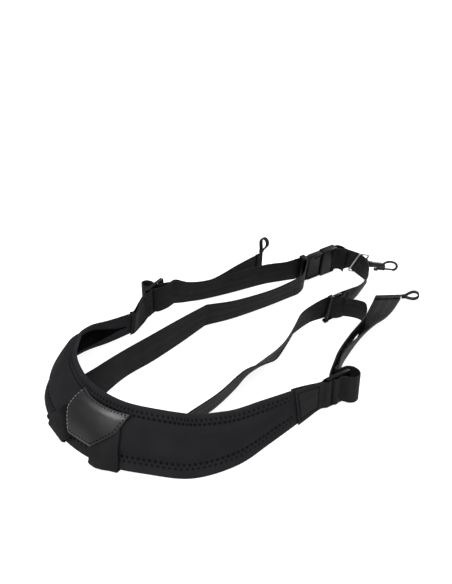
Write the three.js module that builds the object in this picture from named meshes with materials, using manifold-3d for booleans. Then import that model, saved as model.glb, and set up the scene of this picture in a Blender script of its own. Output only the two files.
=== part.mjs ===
// Saxophone harness: a padded yoke for the shoulders, two webbing straps, a chest strap and a swivel hook.
// It lies on a table, standing on the long edge of its pad. Millimetres, +Z up, +Y from the back patch to the hook.
import * as THREE from "three";
import { mergeVertices } from "three/addons/utils/BufferGeometryUtils.js";
import Module from "manifold-3d";

// Driving sizes
const WEB_WIDTH = 38;
const WEB_THICK = 1.6;
const GAP = 0.3;
const PAD_CURL = 12;
const PAD_BAND = 13;
const PAD_EDGE = 1.75;
const PAD_PANEL = 5.2;
const PAD_END = 1.3;
const LOCK_HEIGHT = 44;
const SLOT_FOOT = 2.8;
const FOOTPRINT_CENTRE = [0, 292.9];

const wasm = await Module();
wasm.setup();
const harness = new THREE.Group();
harness.name = "saxophone_harness";
const UP = new THREE.Vector3(0, 0, 1);
const vec = (x, y, z) => new THREE.Vector3(x, y, z);
const radians = THREE.MathUtils.degToRad;
const ease = (x, from, to) => THREE.MathUtils.smoothstep(x, from, to);

// Adds one closed body to the harness under its name.
function addPiece(name, geometry, colour, roughness, metalness) {
  const material = new THREE.MeshStandardMaterial({ color: colour, roughness, metalness });
  const mesh = new THREE.Mesh(geometry, material);
  geometry.translate(-FOOTPRINT_CENTRE[0], -FOOTPRINT_CENTRE[1], 0);
  mesh.name = name;
  harness.add(mesh);
}

// A solid skinned over a row of closed loops, each out along one face and back along the other, with its ends closed.
function skin(loops) {
  const count = loops[0].length;
  const points = loops.flat();
  const index = [];
  for (let i = 0; i < loops.length - 1; i++) {
    for (let j = 0; j < count; j++) {
      const a = i * count + j;
      const b = i * count + ((j + 1) % count);
      index.push(a, b, a + count, b, b + count, a + count);
    }
  }
  for (const end of [0, loops.length - 1]) {
    for (let j = 0; j < count / 2 - 1; j++) {
      const [a, b, c, d] = [j, j + 1, count - 2 - j, count - 1 - j].map((k) => end * count + k);
      index.push(...(end === 0 ? [a, c, b, a, d, c] : [a, b, c, a, c, d]));
    }
  }
  let volume = 0;
  for (let i = 0; i < index.length; i += 3) {
    const [a, b, c] = [points[index[i]], points[index[i + 1]], points[index[i + 2]]];
    volume += a.dot(b.clone().cross(c));
  }
  if (volume < 0) {
    for (let i = 0; i < index.length; i += 3) {
      [index[i + 1], index[i + 2]] = [index[i + 2], index[i + 1]];
    }
  }
  const geometry = new THREE.BufferGeometry().setFromPoints(points);
  geometry.setIndex(index);
  return geometry;
}

// Joins and cuts solids.
function solid(geometry) {
  const bare = new THREE.BufferGeometry();
  bare.setAttribute("position", geometry.toNonIndexed().getAttribute("position"));
  const merged = mergeVertices(bare, 1e-3);
  return new wasm.Manifold(
    new wasm.Mesh({
      numProp: 3,
      vertProperties: merged.attributes.position.array,
      triVerts: new Uint32Array(merged.index.array),
    }),
  );
}
const indexed = (geometry) => (geometry.index ? geometry : mergeVertices(geometry, 1e-3));
const shape = (geometry) => solid(indexed(geometry));
function meshOf(body) {
  const { vertProperties, triVerts } = body.getMesh();
  const geometry = new THREE.BufferGeometry();
  geometry.setAttribute("position", new THREE.BufferAttribute(vertProperties, 3));
  geometry.setIndex(new THREE.BufferAttribute(triVerts, 1));
  return geometry;
}
function box(low, high) {
  const size = high.map((h, i) => h - low[i]);
  const geometry = new THREE.BoxGeometry(...size);
  return shape(geometry.translate(...high.map((h, i) => (h + low[i]) / 2)));
}

// The yoke pad: stations of its foot line from the left end, round the back, to the right end.
// x, y, rise of the foot, inward lean, width
const PAD_STATIONS = [
  [-138, 193, 1.3, 13, 37.5],
  [-142.5, 154, 0.4, 17, 46],
  [-149, 115, 0.3, 25, 60],
  [-141, 70, 0.4, 33, 74],
  [-103, 26, 2.4, 36, 75],
  [-52, 3, 2.4, 36, 75],
  [-4, -3, 2.4, 35, 75],
  [44, 5, 2.6, 35, 74],
  [86, 27.5, 3, 35, 72],
  [124, 60, 0.4, 33, 71],
  [144, 108.5, 0.4, 27, 64],
  [146, 160, 1, 18, 55],
  [147, 213, 3, 9, 45],
];
const padFoot = new THREE.CatmullRomCurve3(
  PAD_STATIONS.map(([x, y, rise]) => vec(x, y, rise)), false, "catmullrom", 0.5);
const padForm = new THREE.CatmullRomCurve3(
  PAD_STATIONS.map(([, , , lean, width]) => vec(lean, width, 0)), false, "catmullrom", 0.5);

// The place on the pad at t along it and up millimetres above its foot, lifted off its middle layer.
function padFrame(t, up) {
  const foot = padFoot.getPoint(t);
  const form = padForm.getPoint(t);
  const along = padFoot.getTangent(t).setZ(0).normalize();
  const inward = UP.clone().cross(along);
  const curl = 0.5 + PAD_CURL * ease(Math.min(t, 1 - t), 0.01, 0.12);
  const bend = (2 * radians(curl)) / form.y;
  const low = radians(form.x - curl);
  const angle = low + bend * up;
  const rise = (Math.sin(angle) - Math.sin(low)) / bend;
  const reach = (Math.cos(low) - Math.cos(angle)) / bend;
  const place = foot.clone().addScaledVector(inward, reach).addScaledVector(UP, rise);
  const out = inward.clone().multiplyScalar(-Math.cos(angle)).addScaledVector(UP, Math.sin(angle));
  const rising = inward.clone().multiplyScalar(Math.sin(angle)).addScaledVector(UP, Math.cos(angle));
  return { place, out, along, inward, rising, width: form.y };
}
const onPad = (t, up, lift) => {
  const { place, out } = padFrame(t, up);
  return place.addScaledVector(out, lift);
};
// Height of the outer face over the middle layer: flat bands at both edges and a raised panel between.
function padFace(t, up) {
  const { width } = padFrame(t, 0);
  const inset = Math.min(up, width - up);
  const band = PAD_EDGE * Math.sqrt(Math.min(1, Math.max(0, inset) / 2.5));
  const fade = ease(t, 0, 0.09) * (1 - ease(t, 0.91, 1));
  const panel = (PAD_PANEL - PAD_EDGE) * ease(inset, PAD_BAND, PAD_BAND + 9) * fade;
  const edge = THREE.MathUtils.lerp(PAD_END, PAD_EDGE, Math.min(1, Math.min(t, 1 - t) * 22));
  return (band * edge) / PAD_EDGE + panel;
}
// Insets of the outer face's lines from either edge, and parts of the width on the plainer inner face.
const PAD_INSETS = [0.6, 2.5, 8, 13, 15.5, 18.5, 22];
const PAD_BACKS = [0.15, 0.3, 0.5, 0.7, 0.85];
const PAD_LENGTHS = 38;
const padLoops = [];
for (let i = 0; i <= PAD_LENGTHS; i++) {
  const t = i / PAD_LENGTHS;
  const { width } = padFrame(t, 0);
  const scale = Math.min(1, width / 50);
  const insets = PAD_INSETS.map((inset) => inset * scale);
  const ups = [0, ...insets, width / 2, ...insets.map((inset) => width - inset).reverse(), width];
  const outer = ups.map((up) => onPad(t, up, padFace(t, up)));
  const backs = [0.6, 2.5, ...PAD_BACKS.map((part) => part * width), width - 2.5, width - 0.6].reverse();
  const inner = backs.map((up) => onPad(t, up, -Math.min(padFace(t, up), PAD_EDGE)));
  padLoops.push([...outer, ...inner]);
}
addPiece("pad_body", skin(padLoops), 0x29292b, 0.95, 0);

// The soft lining panel on the inner face, pointed at both ends.
const LINING = { from: 0.03, to: 0.97, low: 6, high: 15, thick: 3.4, lengths: 32, across: 6 };
const liningLoops = [];
for (let i = 0; i <= LINING.lengths; i++) {
  const s = i / LINING.lengths;
  const t = THREE.MathUtils.lerp(LINING.from, LINING.to, s);
  const { width } = padFrame(t, 0);
  const taper = 0.12 + 0.88 * ease(Math.min(s, 1 - s), 0, 0.12);
  const middle = (LINING.low + width - LINING.high) / 2;
  const half = ((width - LINING.high - LINING.low) / 2) * taper;
  const back = PAD_EDGE + 2 * GAP;
  const face = [];
  const rear = [];
  for (let j = 0; j <= LINING.across; j++) {
    const side = (2 * j) / LINING.across - 1;
    const puff = LINING.thick * taper * Math.sqrt(1 - 0.86 * side * side);
    face.push(onPad(t, middle + half * side, -back - puff));
    rear.unshift(onPad(t, middle + half * side, -back));
  }
  liningLoops.push([...face, ...rear]);
}
addPiece("pad_lining", skin(liningLoops), 0x0b0b0c, 1, 0);

// The leather patch at the back: rows from its short lower edge to its long upper one.
// up, left edge t, right edge t, crown of the row
const PATCH_ROWS = [
  [16.5, 0.496, 0.547, 0],
  [24, 0.485, 0.562, 0],
  [32, 0.473, 0.579, 0],
  [40, 0.461, 0.596, 0.4],
  [47, 0.459, 0.603, 1],
  [53, 0.458, 0.608, 1.5],
  [58, 0.457, 0.612, 2.1],
  [63, 0.456, 0.616, 2.6],
];
const PATCH_THICK = 1.5;
const PATCH_ACROSS = 14;
const PATCH_OVER = PAD_PANEL + WEB_THICK + 2.2;
const PATCH_SAG = 4;
const patchLoops = PATCH_ROWS.map(([up, left, right, crown]) => {
  const face = [];
  const rear = [];
  for (let j = 0; j <= PATCH_ACROSS; j++) {
    const s = j / PATCH_ACROSS;
    const t = THREE.MathUtils.lerp(left, right, s);
    const height = up + crown * Math.sin(Math.PI * s);
    const free = ease(height, 46, 58);
    const sag = PATCH_SAG * Math.sin(Math.PI * s) ** 4 * (1 - ease(up, 14, 26));
    const lift = THREE.MathUtils.lerp(PATCH_OVER - sag, padFace(t, height - 2) + 2 * GAP, free);
    face.push(onPad(t, height, lift + PATCH_THICK));
    rear.unshift(onPad(t, height, lift));
  }
  return [...face, ...rear];
});
addPiece("back_patch", skin(patchLoops), 0x3b3b3d, 0.42, 0);

// Webbing: stations give the middle of the strap and the direction of its width.
function webbing(stations, steps, ends = {}) {
  const middle = new THREE.CatmullRomCurve3(stations.map((s) => s.place), false, "catmullrom", 0.5);
  const across = new THREE.CatmullRomCurve3(
    stations.map((s) => s.across.clone().multiplyScalar((s.width ?? WEB_WIDTH) / 2)), false, "catmullrom", 0.5);
  const count = (stations.length - 1) * steps;
  const loops = [];
  for (let i = 0; i <= count; i++) {
    const t = i / count;
    const place = middle.getPoint(t);
    const half = across.getPoint(t);
    const along = middle.getTangent(t);
    const thick = ends.thick && i >= count - steps ? ends.thick : (ends.web ?? WEB_THICK);
    const face = along.cross(half).normalize().multiplyScalar(thick / 2);
    const corner = (a, b) => place.clone().addScaledVector(half, a).addScaledVector(face, b);
    loops.push([corner(-1, -1), corner(1, -1), corner(1, 1), corner(-1, 1)]);
  }
  return skin(loops);
}
// Stations of a strap on its edge from rows of its lower edge: x, y, rise, lean to the left of its way, skew.
function onEdge(rows, width = WEB_WIDTH) {
  const lift = (lean) => 0.1 + (WEB_THICK / 2) * Math.abs(Math.sin(radians(lean)));
  const foot = new THREE.CatmullRomCurve3(
    rows.map(([x, y, rise, lean]) => vec(x, y, rise + lift(lean))), false, "catmullrom", 0.5);
  return rows.map(([, , , lean, skew = 0], i) => {
    const t = i / (rows.length - 1);
    const along = foot.getTangent(t);
    const left = UP.clone().cross(along).normalize();
    const top = along.clone().cross(left);
    const across = top.multiplyScalar(Math.cos(radians(lean))).addScaledVector(left, Math.sin(radians(lean)));
    across.applyAxisAngle(UP, radians(skew));
    return { place: foot.getPoint(t).addScaledVector(across, width / 2), across };
  });
}
// A flat fitting on edge: p runs along it, q out of its face, z up. Its tilt leans it towards its face.
function fitting([x, y, z], heading, tilt = 0, sideways = 1) {
  const along = vec(Math.sin(radians(heading)), Math.cos(radians(heading)), 0);
  const level = vec(along.y, -along.x, 0).multiplyScalar(sideways);
  const out = level.clone().multiplyScalar(Math.cos(radians(tilt))).addScaledVector(UP, -Math.sin(radians(tilt)));
  const rise = UP.clone().multiplyScalar(Math.cos(radians(tilt))).addScaledVector(level, Math.sin(radians(tilt)));
  return { origin: vec(x, y, z), along, out, rise };
}
const inFitting = (f, p, q, z) =>
  f.origin.clone().addScaledVector(f.along, p).addScaledVector(f.out, q).addScaledVector(f.rise, z);
// Strap stations threaded through a fitting from rows of p, q.
const threaded = (f, foot, rows) =>
  rows.map(([p, q]) => ({ place: inFitting(f, p, q, foot + WEB_WIDTH / 2), across: f.rise }));
// A plate of a fitting with slots through it, its outline in p and z.
function plate(outline, slots, thick, bevel) {
  const round = (s, [p0, z0, p1, z1], r) => {
    s.moveTo(p0 + r, z0);
    s.lineTo(p1 - r, z0);
    s.quadraticCurveTo(p1, z0, p1, z0 + r);
    s.lineTo(p1, z1 - r);
    s.quadraticCurveTo(p1, z1, p1 - r, z1);
    s.lineTo(p0 + r, z1);
    s.quadraticCurveTo(p0, z1, p0, z1 - r);
    s.lineTo(p0, z0 + r);
    s.quadraticCurveTo(p0, z0, p0 + r, z0);
    return s;
  };
  const trim = ([p0, z0, p1, z1], by) => [p0 + by, z0 + by, p1 - by, z1 - by];
  const form = round(new THREE.Shape(), trim(outline, bevel), 2.4);
  for (const slot of slots) {
    form.holes.push(round(new THREE.Path(), trim(slot, -bevel), 1.2 + bevel));
  }
  const geometry = new THREE.ExtrudeGeometry(form, {
    depth: thick - 2 * bevel, bevelEnabled: true, bevelThickness: bevel, bevelSize: bevel,
    bevelSegments: 1, curveSegments: 3,
  });
  return geometry.translate(0, 0, bevel - thick / 2);
}
// Sets a plate drawn in p, z and thickness into its fitting's place.
function place(f, geometry) {
  const matrix = new THREE.Matrix4().makeBasis(f.along, f.rise, f.out);
  const mirrored = matrix.determinant() < 0;
  geometry = indexed(geometry.applyMatrix4(matrix.setPosition(f.origin)));
  if (mirrored) {
    const flipped = geometry.index.array;
    for (let i = 0; i < flipped.length; i += 3) {
      [flipped[i + 1], flipped[i + 2]] = [flipped[i + 2], flipped[i + 1]];
    }
  }
  return geometry;
}

// Ladder locks on the ends of the pad: tab bar, slot, middle bar, slot, end bar with a thumb lip.
const leftLock = fitting([-146.5, 231, 8], -14, 0, -1);
const rightLock = fitting([149.5, 256, 0], 11.7);
const LOCK = { bar: 2.2, first: 9.5, middle: 14.5, second: 24, end: 33, thick: 5 };
function ladderLock(name, f) {
  const inner = [SLOT_FOOT - 0.4, LOCK_HEIGHT - SLOT_FOOT + 0.4];
  const slots = [
    [LOCK.bar, inner[0], LOCK.first, inner[1]],
    [LOCK.middle, inner[0], LOCK.second, inner[1]],
  ];
  const geometry = plate([-3, 0, LOCK.end, LOCK_HEIGHT], slots, LOCK.thick, 0.8);
  addPiece(name, place(f, geometry), 0x1a1a1b, 0.38, 0);
}
ladderLock("left_ladder_lock", leftLock);
ladderLock("right_ladder_lock", rightLock);

// Tabs that hold the locks: webbing folded round the lock's bar, with the pad's end sewn between its plies.
// distance before the bar, distance off the middle, width
const TAB_PLY = [
  [4, 3.4, 38],
  [9, 1.3, 39],
  [18, 1.1, 41],
  [30, 1.1, 44],
];
function padTab(name, f, t, end) {
  const seam = padFrame(t, 0);
  const bar = inFitting(f, 0, 0, LOCK_HEIGHT / 2);
  const padMiddle = onPad(t, seam.width / 2, 0);
  const way = padMiddle.clone().sub(bar);
  const length = way.length();
  const ply = (side) => {
    const rows = TAB_PLY.map(([back, off, width]) => {
      const s = ease(back / length, 0.25, 1);
      const across = f.rise.clone().lerp(seam.rising, s).normalize();
      const out = f.out.clone().lerp(seam.out, s).normalize();
      const middle = bar.clone().addScaledVector(way, back / length);
      return { place: middle.addScaledVector(out, off * side), across, width };
    });
    for (const step of [0, end]) {
      const { rising, width } = padFrame(t + step, seam.width / 2);
      const off = PAD_END + GAP + WEB_THICK / 2 + (step ? 0.5 : 0.2);
      rows.push({ place: onPad(t + step, width / 2, off * side), across: rising, width });
    }
    return rows;
  };
  const fold = [[0.4, 3.8], [2.9, 2.9], [3.8, 0], [2.9, -2.9], [0.4, -3.8]].map(([p, q]) => ({
    place: inFitting(f, p, q, LOCK_HEIGHT / 2), across: f.rise, width: 38,
  }));
  const stations = [...ply(1).reverse(), ...fold, ...ply(-1)];
  addPiece(name, webbing(stations, 3), 0x202022, 0.85, 0);
}
padTab("left_pad_tab", leftLock, 0, 0.013);
padTab("right_pad_tab", rightLock, 1, -0.013);

// The start of a strap: sewn under the patch, down over the pad's outer face and under its foot.
// t, up, slant of the strap from straight down
function fromPatch(rows, sideways) {
  const down = rows.map(([t, up, slant]) => {
    const { out, along, rising } = padFrame(t, up);
    const reach = (WEB_WIDTH / 2) * Math.sin(radians(slant));
    const under = [up - reach, up, up + reach].map((height) => padFace(t, height));
    const lift = Math.max(...under) + 1.5 * GAP + WEB_THICK / 2;
    const across = along.clone().multiplyScalar(sideways * Math.cos(radians(slant)));
    across.addScaledVector(rising, Math.sin(radians(slant)));
    return { place: onPad(t, up, lift), across };
  });
  const [t] = rows[rows.length - 1];
  const { place: foot, along, inward } = padFrame(t, 0);
  const across = along.clone().multiplyScalar(sideways);
  const under = [[-2.9, 0.6], [-1.6, -0.9], [2, -1.25]].map(([reach, rise]) => ({
    place: foot.clone().addScaledVector(inward, reach).addScaledVector(UP, rise), across,
  }));
  return [...down, ...under];
}

// Left strap: patch, under the pad, along the side, round the buckle's bar, over the shoulder, lock and tail.
const buckle = fitting([-65, 458.5, 0], 9, 8);
const BUCKLE_FOOT = 4.3;
const leftStrap = [
  ...fromPatch([[0.452, 40, 32], [0.440, 30, 32], [0.425, 19, 30], [0.414, 9, 20], [0.410, 4, 8]], -1),
  ...onEdge([
    [-36, 14, 0.2, 90],
    [-39, 32, 0, 83],
    [-49, 58, 0, 42],
    [-60, 88, 0, 14],
    [-68, 125, 0, 5],
    [-69, 170, 0, 6],
    [-74, 222, 0, 1],
    [-80, 274, 0.1, -9],
    [-66, 315, 0.2, -17],
    [-54, 368, 0.2, -21],
    [-47, 410, 0.3, -18],
    [-44, 428, 0.6, -14],
    [-46.5, 442, 2, -8],
  ]),
  ...threaded(buckle, BUCKLE_FOOT, [[-3, 10.5], [2.2, 5], [4.7, 2.9], [5.2, 0], [4.7, -2.9], [1, -4.8], [-9, -6.5]]),
  ...onEdge([
    [-85, 441.5, 0.5, 13],
    [-100, 413, 0.2, 11],
    [-116.5, 362, 0.2, 11],
    [-132.5, 319.5, 0.3, 15],
    [-142, 292, 3.5, 12],
  ]),
  ...threaded(leftLock, SLOT_FOOT, [
    [42, -15.5], [25, -13.5], [12, -9.5], [7, -5], [6.2, 0], [6.4, 6], [6.2, 12], [9, 18], [14.5, 20.6],
    [19.4, 18], [21.2, 11.5], [19.6, 5.5], [19, 0], [20, -4.2], [26, -7],
  ]),
  ...onEdge([
    [-145, 271, 9, -8],
    [-141, 296, 2.5, -16],
    [-136, 320, 0.5, -21],
    [-131, 345, 0.1, -17],
    [-127, 379, 0.1, -8],
    [-126, 420, 0, -5],
    [-124.5, 435, 0, -3],
  ]),
];
addPiece("left_strap", webbing(leftStrap, 3, { thick: 3.4 }), 0x1d1d1f, 0.8, 0);

// Slide loop that carries the chest strap on the right strap.
const slide = fitting([31.5, 410, 0.5], 6, 10);
const SLIDE = { half: 11.2, bar: 6.8, thick: 4.4 };
addPiece("slide_loop", place(slide, plate(
  [-SLIDE.half, 0, SLIDE.half, LOCK_HEIGHT],
  [[-SLIDE.bar, SLOT_FOOT - 0.4, SLIDE.bar, LOCK_HEIGHT - SLOT_FOOT + 0.4]], SLIDE.thick, 0.8)), 0x1a1a1b, 0.38, 0);

// Right strap: patch, under the pad, along the side with a twist, through the slide loop, back to the lock, tail.
const rightStrap = [
  ...fromPatch([[0.569, 41, 16], [0.573, 31, 16], [0.576, 20, 14], [0.578, 9, 10], [0.579, 3, 5]], 1),
  ...onEdge([
    [22, 14, 0.2, -90],
    [25, 34, 0, -83],
    [40, 66, 0, -48],
    [54, 108, 0, -27],
    [57, 152, 0, -21],
    [48, 202, 0, -22],
    [38, 232, 0, -42],
    [33, 256, 0, -53],
    [31, 280, 0, -45],
    [28, 310, 0, -30],
    [19, 346, 0.1, -17],
    [17.5, 380, 1, -15],
  ]),
  ...threaded(slide, SLOT_FOOT, [[-13, -5.2], [-7, -4.2], [-2.4, -1.6], [1.6, 2], [6, 5.4], [12, 7.2]]),
  ...onEdge([
    [43, 430, 1, -18],
    [62.5, 438.5, 0.3, -15],
    [79.5, 428, 0.2, -3],
    [82, 400, 0.2, 26],
    [97, 350, 0.6, 20],
    [117, 312, 2, 5],
  ]),
  ...threaded(rightLock, SLOT_FOOT, [
    [27, -22.5], [13, -11.5], [7.6, -6], [6.3, 0], [8, 4.2], [12, 5], [16, 3.6], [19.4, 2.8], [22.6, 6],
    [26, 11], [32, 14], [39, 12], [43.4, 5], [42.6, -4], [37, -9.4], [30, -10.2], [25, -10.3], [22.4, -12.6],
    [24.6, -15], [32, -17.8],
  ]),
  ...onEdge([
    [131, 302, 1.5, -2],
    [120, 318, 0.5, -8],
    [109, 340, 0, -16],
    [99, 370, 0, -25],
    [88, 398, 0, -38],
    [76, 425, 0, -54],
    [61, 457, 0.3, -70, 4],
    [48, 489, 0.8, -84, 17],
    [42, 503, 0.9, -88, 22],
  ]),
];
addPiece("right_strap", webbing(rightStrap, 3, { thick: 3.4 }), 0x1d1d1f, 0.8, 0);

// Finger loops of narrow tape, sewn into one end of each tail's hem.
// ahead of the hem's end, half spread
const PULL_LOOP = [
  [0.9, 1],
  [5, 1.3],
  [9, 3],
  [15, 5],
  [20, 3.8],
];
const PULL = { wide: 4, thick: 1.4, reach: 22 };
function pullLoop(name, base, forward, sideways) {
  const across = forward.clone().cross(sideways);
  const at = (ahead, spread) => ({
    place: base.clone().addScaledVector(forward, ahead).addScaledVector(sideways, spread), across, width: PULL.wide,
  });
  const out = PULL_LOOP.map(([ahead, spread]) => at(ahead, spread));
  const back = PULL_LOOP.map(([ahead, spread]) => at(ahead, -spread)).reverse();
  addPiece(name, webbing([...out, at(PULL.reach, 0), ...back], 3, { web: PULL.thick }), 0x1b1b1d, 0.8, 0);
}
function hemEnd(strap, inset) {
  const [before, last] = strap.slice(-2);
  const along = last.place.clone().sub(before.place).normalize();
  return last.place.clone().addScaledVector(along, -inset).addScaledVector(last.across, WEB_WIDTH / 2 + GAP);
}
pullLoop("left_pull_loop", hemEnd(leftStrap, 2.5), vec(0.309, 0, 0.951), vec(0.951, 0, -0.309));
pullLoop("right_pull_loop", hemEnd(rightStrap, 4).setZ(3.4), vec(0.8201, 0.51, 0.2588), vec(-0.2198, -0.1366, 0.9659));

// Side-release buckle: the male half holds the left strap, the female half the chest strap.
const BUCKLE = { half: 21.8, mid: BUCKLE_FOOT + WEB_WIDTH / 2, male: 6.6, female: 13 };
const arms = (grow) => [1, -1].flatMap((side) => {
  const span = (z0, z1) => (side > 0 ? [z0, z1] : [-z1, -z0]).map((z) => z + BUCKLE.mid);
  const [a0, a1] = span(12.6 - grow, 17 + grow);
  const [b0, b1] = span(14 - grow, 21 + grow);
  const deep = BUCKLE.male / 2 - 0.6 + grow;
  return [box([30, a0, -deep], [50 + grow, a1, deep]), box([38.4 - grow, b0, -deep], [47 + grow, b1, deep])];
});
const maleFrame = shape(plate([-3.2, BUCKLE.mid - BUCKLE.half, 33.5, BUCKLE.mid + BUCKLE.half],
  [[2.4, BUCKLE.mid - 19.5, 9.6, BUCKLE.mid + 19.5]], BUCKLE.male, 1));
const tongue = (grow) =>
  box([30, BUCKLE.mid - 5 - grow, -2 - grow], [51 + grow, BUCKLE.mid + 5 + grow, 2 + grow]);
const rails = [1, -1].map((side) => {
  const z = BUCKLE.mid + side * (BUCKLE.half - 2.2);
  return box([11, z - 1.3, -4.4], [33, z + 1.3, 4.4]);
});
const male = [...arms(0), ...rails, tongue(0)].reduce((body, piece) => body.add(piece), maleFrame);
addPiece("buckle_male", place(buckle, meshOf(male)), 0x1c1c1d, 0.3, 0);

const sleeve = shape(plate([34, BUCKLE.mid - BUCKLE.half - 0.5, 63.4, BUCKLE.mid + BUCKLE.half + 0.5],
  [[55, BUCKLE.mid - 19.5, 59.6, BUCKLE.mid + 19.5]], BUCKLE.female, 1.4));
const slim = [1, -1].map((side) => {
  const [low, high] = side > 0 ? [3.2, 8] : [-8, -3.2];
  return box([55, BUCKLE.mid - 19.5, low], [66, BUCKLE.mid + 19.5, high]);
});
const female = [...arms(0.4), tongue(0.4), ...slim].reduce((body, piece) => body.subtract(piece), sleeve);
addPiece("buckle_female", place(buckle, meshOf(female)), 0x1c1c1d, 0.3, 0);

// Rectangular hook ring, threaded on the chest strap; s runs toward the hook, l up along its bars.
const RING = { long: 42.6, short: 16, wire: 1.4, corner: 3.5, place: vec(-15.7, 536.1, 21.8) };
const ringS = vec(0.525, 0.82, -0.225).normalize();
const ringL = vec(0.457, -0.086, 0.885);
ringL.addScaledVector(ringS, -ringL.dot(ringS)).normalize();
const ringN = ringS.clone().cross(ringL);
const inRing = (s, l, n) =>
  RING.place.clone().addScaledVector(ringS, s).addScaledVector(ringL, l).addScaledVector(ringN, n);
const ringPath = new THREE.CurvePath();
const ringSides = [[1, -1], [1, 1], [-1, 1], [-1, -1]];
ringSides.forEach(([s, l], i) => {
  const [s2, l2] = ringSides[(i + 1) % 4];
  const [s3, l3] = ringSides[(i + 2) % 4];
  const corner = (a, b) => vec((a * RING.short) / 2, (b * RING.long) / 2, 0);
  const step = corner(s2, l2).sub(corner(s, l)).setLength(RING.corner);
  const next = corner(s3, l3).sub(corner(s2, l2)).setLength(RING.corner);
  const from = corner(s, l).add(step);
  const to = corner(s2, l2).sub(step);
  const after = corner(s2, l2).add(next);
  const at = (p) => inRing(p.x, p.y, 0);
  ringPath.add(new THREE.LineCurve3(at(from), at(to)));
  ringPath.add(new THREE.QuadraticBezierCurve3(at(to), at(corner(s2, l2)), at(after)));
});
const ringTube = new THREE.TubeGeometry(ringPath, 48, RING.wire, 7, true);
ringTube.deleteAttribute("uv");
ringTube.deleteAttribute("normal");
addPiece("hook_ring", mergeVertices(ringTube, 1e-3), 0x8d8d90, 0.35, 1);

// Chest strap: folded round the female half's bar, through the ring, back to the slide loop's far bar.
const chestStrap = [
  ...threaded(buckle, BUCKLE_FOOT, [
    [71, 17], [71.6, 12], [69.8, 7.6], [66, 5.4], [61.6, 4.9], [58, 3.9], [57.6, 0], [58, -3.9], [61, -4.7],
    [66.5, -4.2], [71.6, -2], [75, 3.6], [76, 12],
  ]),
  { place: inRing(-8, 0, -3.6), across: ringL },
  { place: inRing(-1, 0, 1.6), across: ringL },
  { place: inRing(5.5, 0, 7.8), across: ringL },
  ...onEdge([
    [5, 530, 0.3, -6],
    [10.5, 519, 0.1, 4],
    [16, 502, 0.1, 14],
    [21, 484, 0.1, 22],
    [25, 462, 0.3, 22],
    [26, 445, 1.2, 18],
  ]),
  ...threaded(slide, SLOT_FOOT, [
    [20, -2.9], [13, -3.5], [9.2, -3.6], [6, -2.9], [5.3, 0], [6, 2.9], [9.2, 3.6], [12.6, 3.4], [16, 2.3],
    [20, 1.2], [25, 1.6],
  ]),
];
addPiece("chest_strap", webbing(chestStrap, 3), 0x1d1d1f, 0.8, 0);

// Swivel snap hook on the ring's far bar: s along the hook from the bar, v up across its loop.
const HOOK = { barrel: 4.8, wire: 1.6, eye: 3.5, stem: 1.7, head: 2.8, bolt: 1.5, drop: -5.6 };
const hookS = ringS;
const hookV = UP.clone().addScaledVector(hookS, -UP.dot(hookS)).normalize();
const hookN = hookS.clone().cross(hookV);
const hookAt = inRing(RING.short / 2, 0, 0);
const inHook = new THREE.Matrix4().makeBasis(hookS, hookV, hookN).setPosition(hookAt);
// A round rod or collar along the hook from rows of s, radius.
function turned(rows, drop = 0) {
  const profile = [[rows[0][0], 0], ...rows, [rows[rows.length - 1][0], 0]];
  const lathe = new THREE.LatheGeometry(profile.map(([s, r]) => new THREE.Vector2(r, s)), 14);
  lathe.rotateZ(-Math.PI / 2).translate(0, drop, 0);
  return shape(lathe);
}
const torus = new THREE.TorusGeometry(HOOK.eye, 1.4, 7, 16);
const barTurn = new THREE.Matrix4().extractRotation(inHook).invert();
const barWay = ringL.clone().applyMatrix4(barTurn);
torus.applyQuaternion(new THREE.Quaternion().setFromUnitVectors(UP, barWay));
const eye = shape(torus)
  .add(turned([[4.2, HOOK.stem], [10.6, HOOK.stem]]))
  .add(turned([[10.3, HOOK.head], [12.4, HOOK.head]]));
addPiece("hook_eye", meshOf(eye).applyMatrix4(inHook), 0x4c4c4f, 0.4, 0.9);

const hookLoop = new THREE.CatmullRomCurve3(
  [[31, 1.4], [35, 4], [40, 6.3], [46, 6.9], [52, 5.6], [56.4, 1.8], [56.8, -2.6], [54, -5.3], [51, -5.7]]
    .map(([s, v]) => vec(s, v, 0)), false, "catmullrom", 0.5);
const wire = new THREE.Shape().absarc(0, 0, HOOK.wire, 0, 2 * Math.PI);
const loopWire = new THREE.ExtrudeGeometry(wire, {
  steps: 20, extrudePath: hookLoop, curveSegments: 4, bevelEnabled: false,
});
const bolt = turned([[20.5, HOOK.bolt], [50.4, HOOK.bolt]], HOOK.drop);
const barrel = turned([
  [7.6, 4], [8.6, HOOK.barrel], [16, HOOK.barrel], [17, 4.3], [29, 4.3], [34, 3.6], [36, 2.6],
]);
const housing = turned([[27.4, 3.2], [37.6, 3.2]], HOOK.drop + 0.4);
const cheek = box([27.4, -5.6, -2.6], [37, 0, 2.6]);
const hook = barrel
  .add(housing)
  .add(cheek)
  .add(shape(loopWire))
  .subtract(turned([[6, HOOK.stem + GAP], [10.1, HOOK.stem + GAP]]))
  .subtract(turned([[10, HOOK.head + GAP], [12.8, HOOK.head + GAP]]))
  .subtract(turned([[13.6, HOOK.bolt + GAP], [50.8, HOOK.bolt + GAP]], HOOK.drop));
addPiece("hook_body", meshOf(hook).applyMatrix4(inHook), 0x4c4c4f, 0.4, 0.9);
const nub = box([20.8, -9.8, -1.9], [26.4, -5.6, 1.9]);
addPiece("hook_bolt", meshOf(bolt.add(nub)).applyMatrix4(inHook), 0x57575a, 0.38, 0.9);

export default harness;
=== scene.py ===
import math

import bmesh
import bpy
import numpy as np
from mathutils import Matrix, Vector


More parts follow.
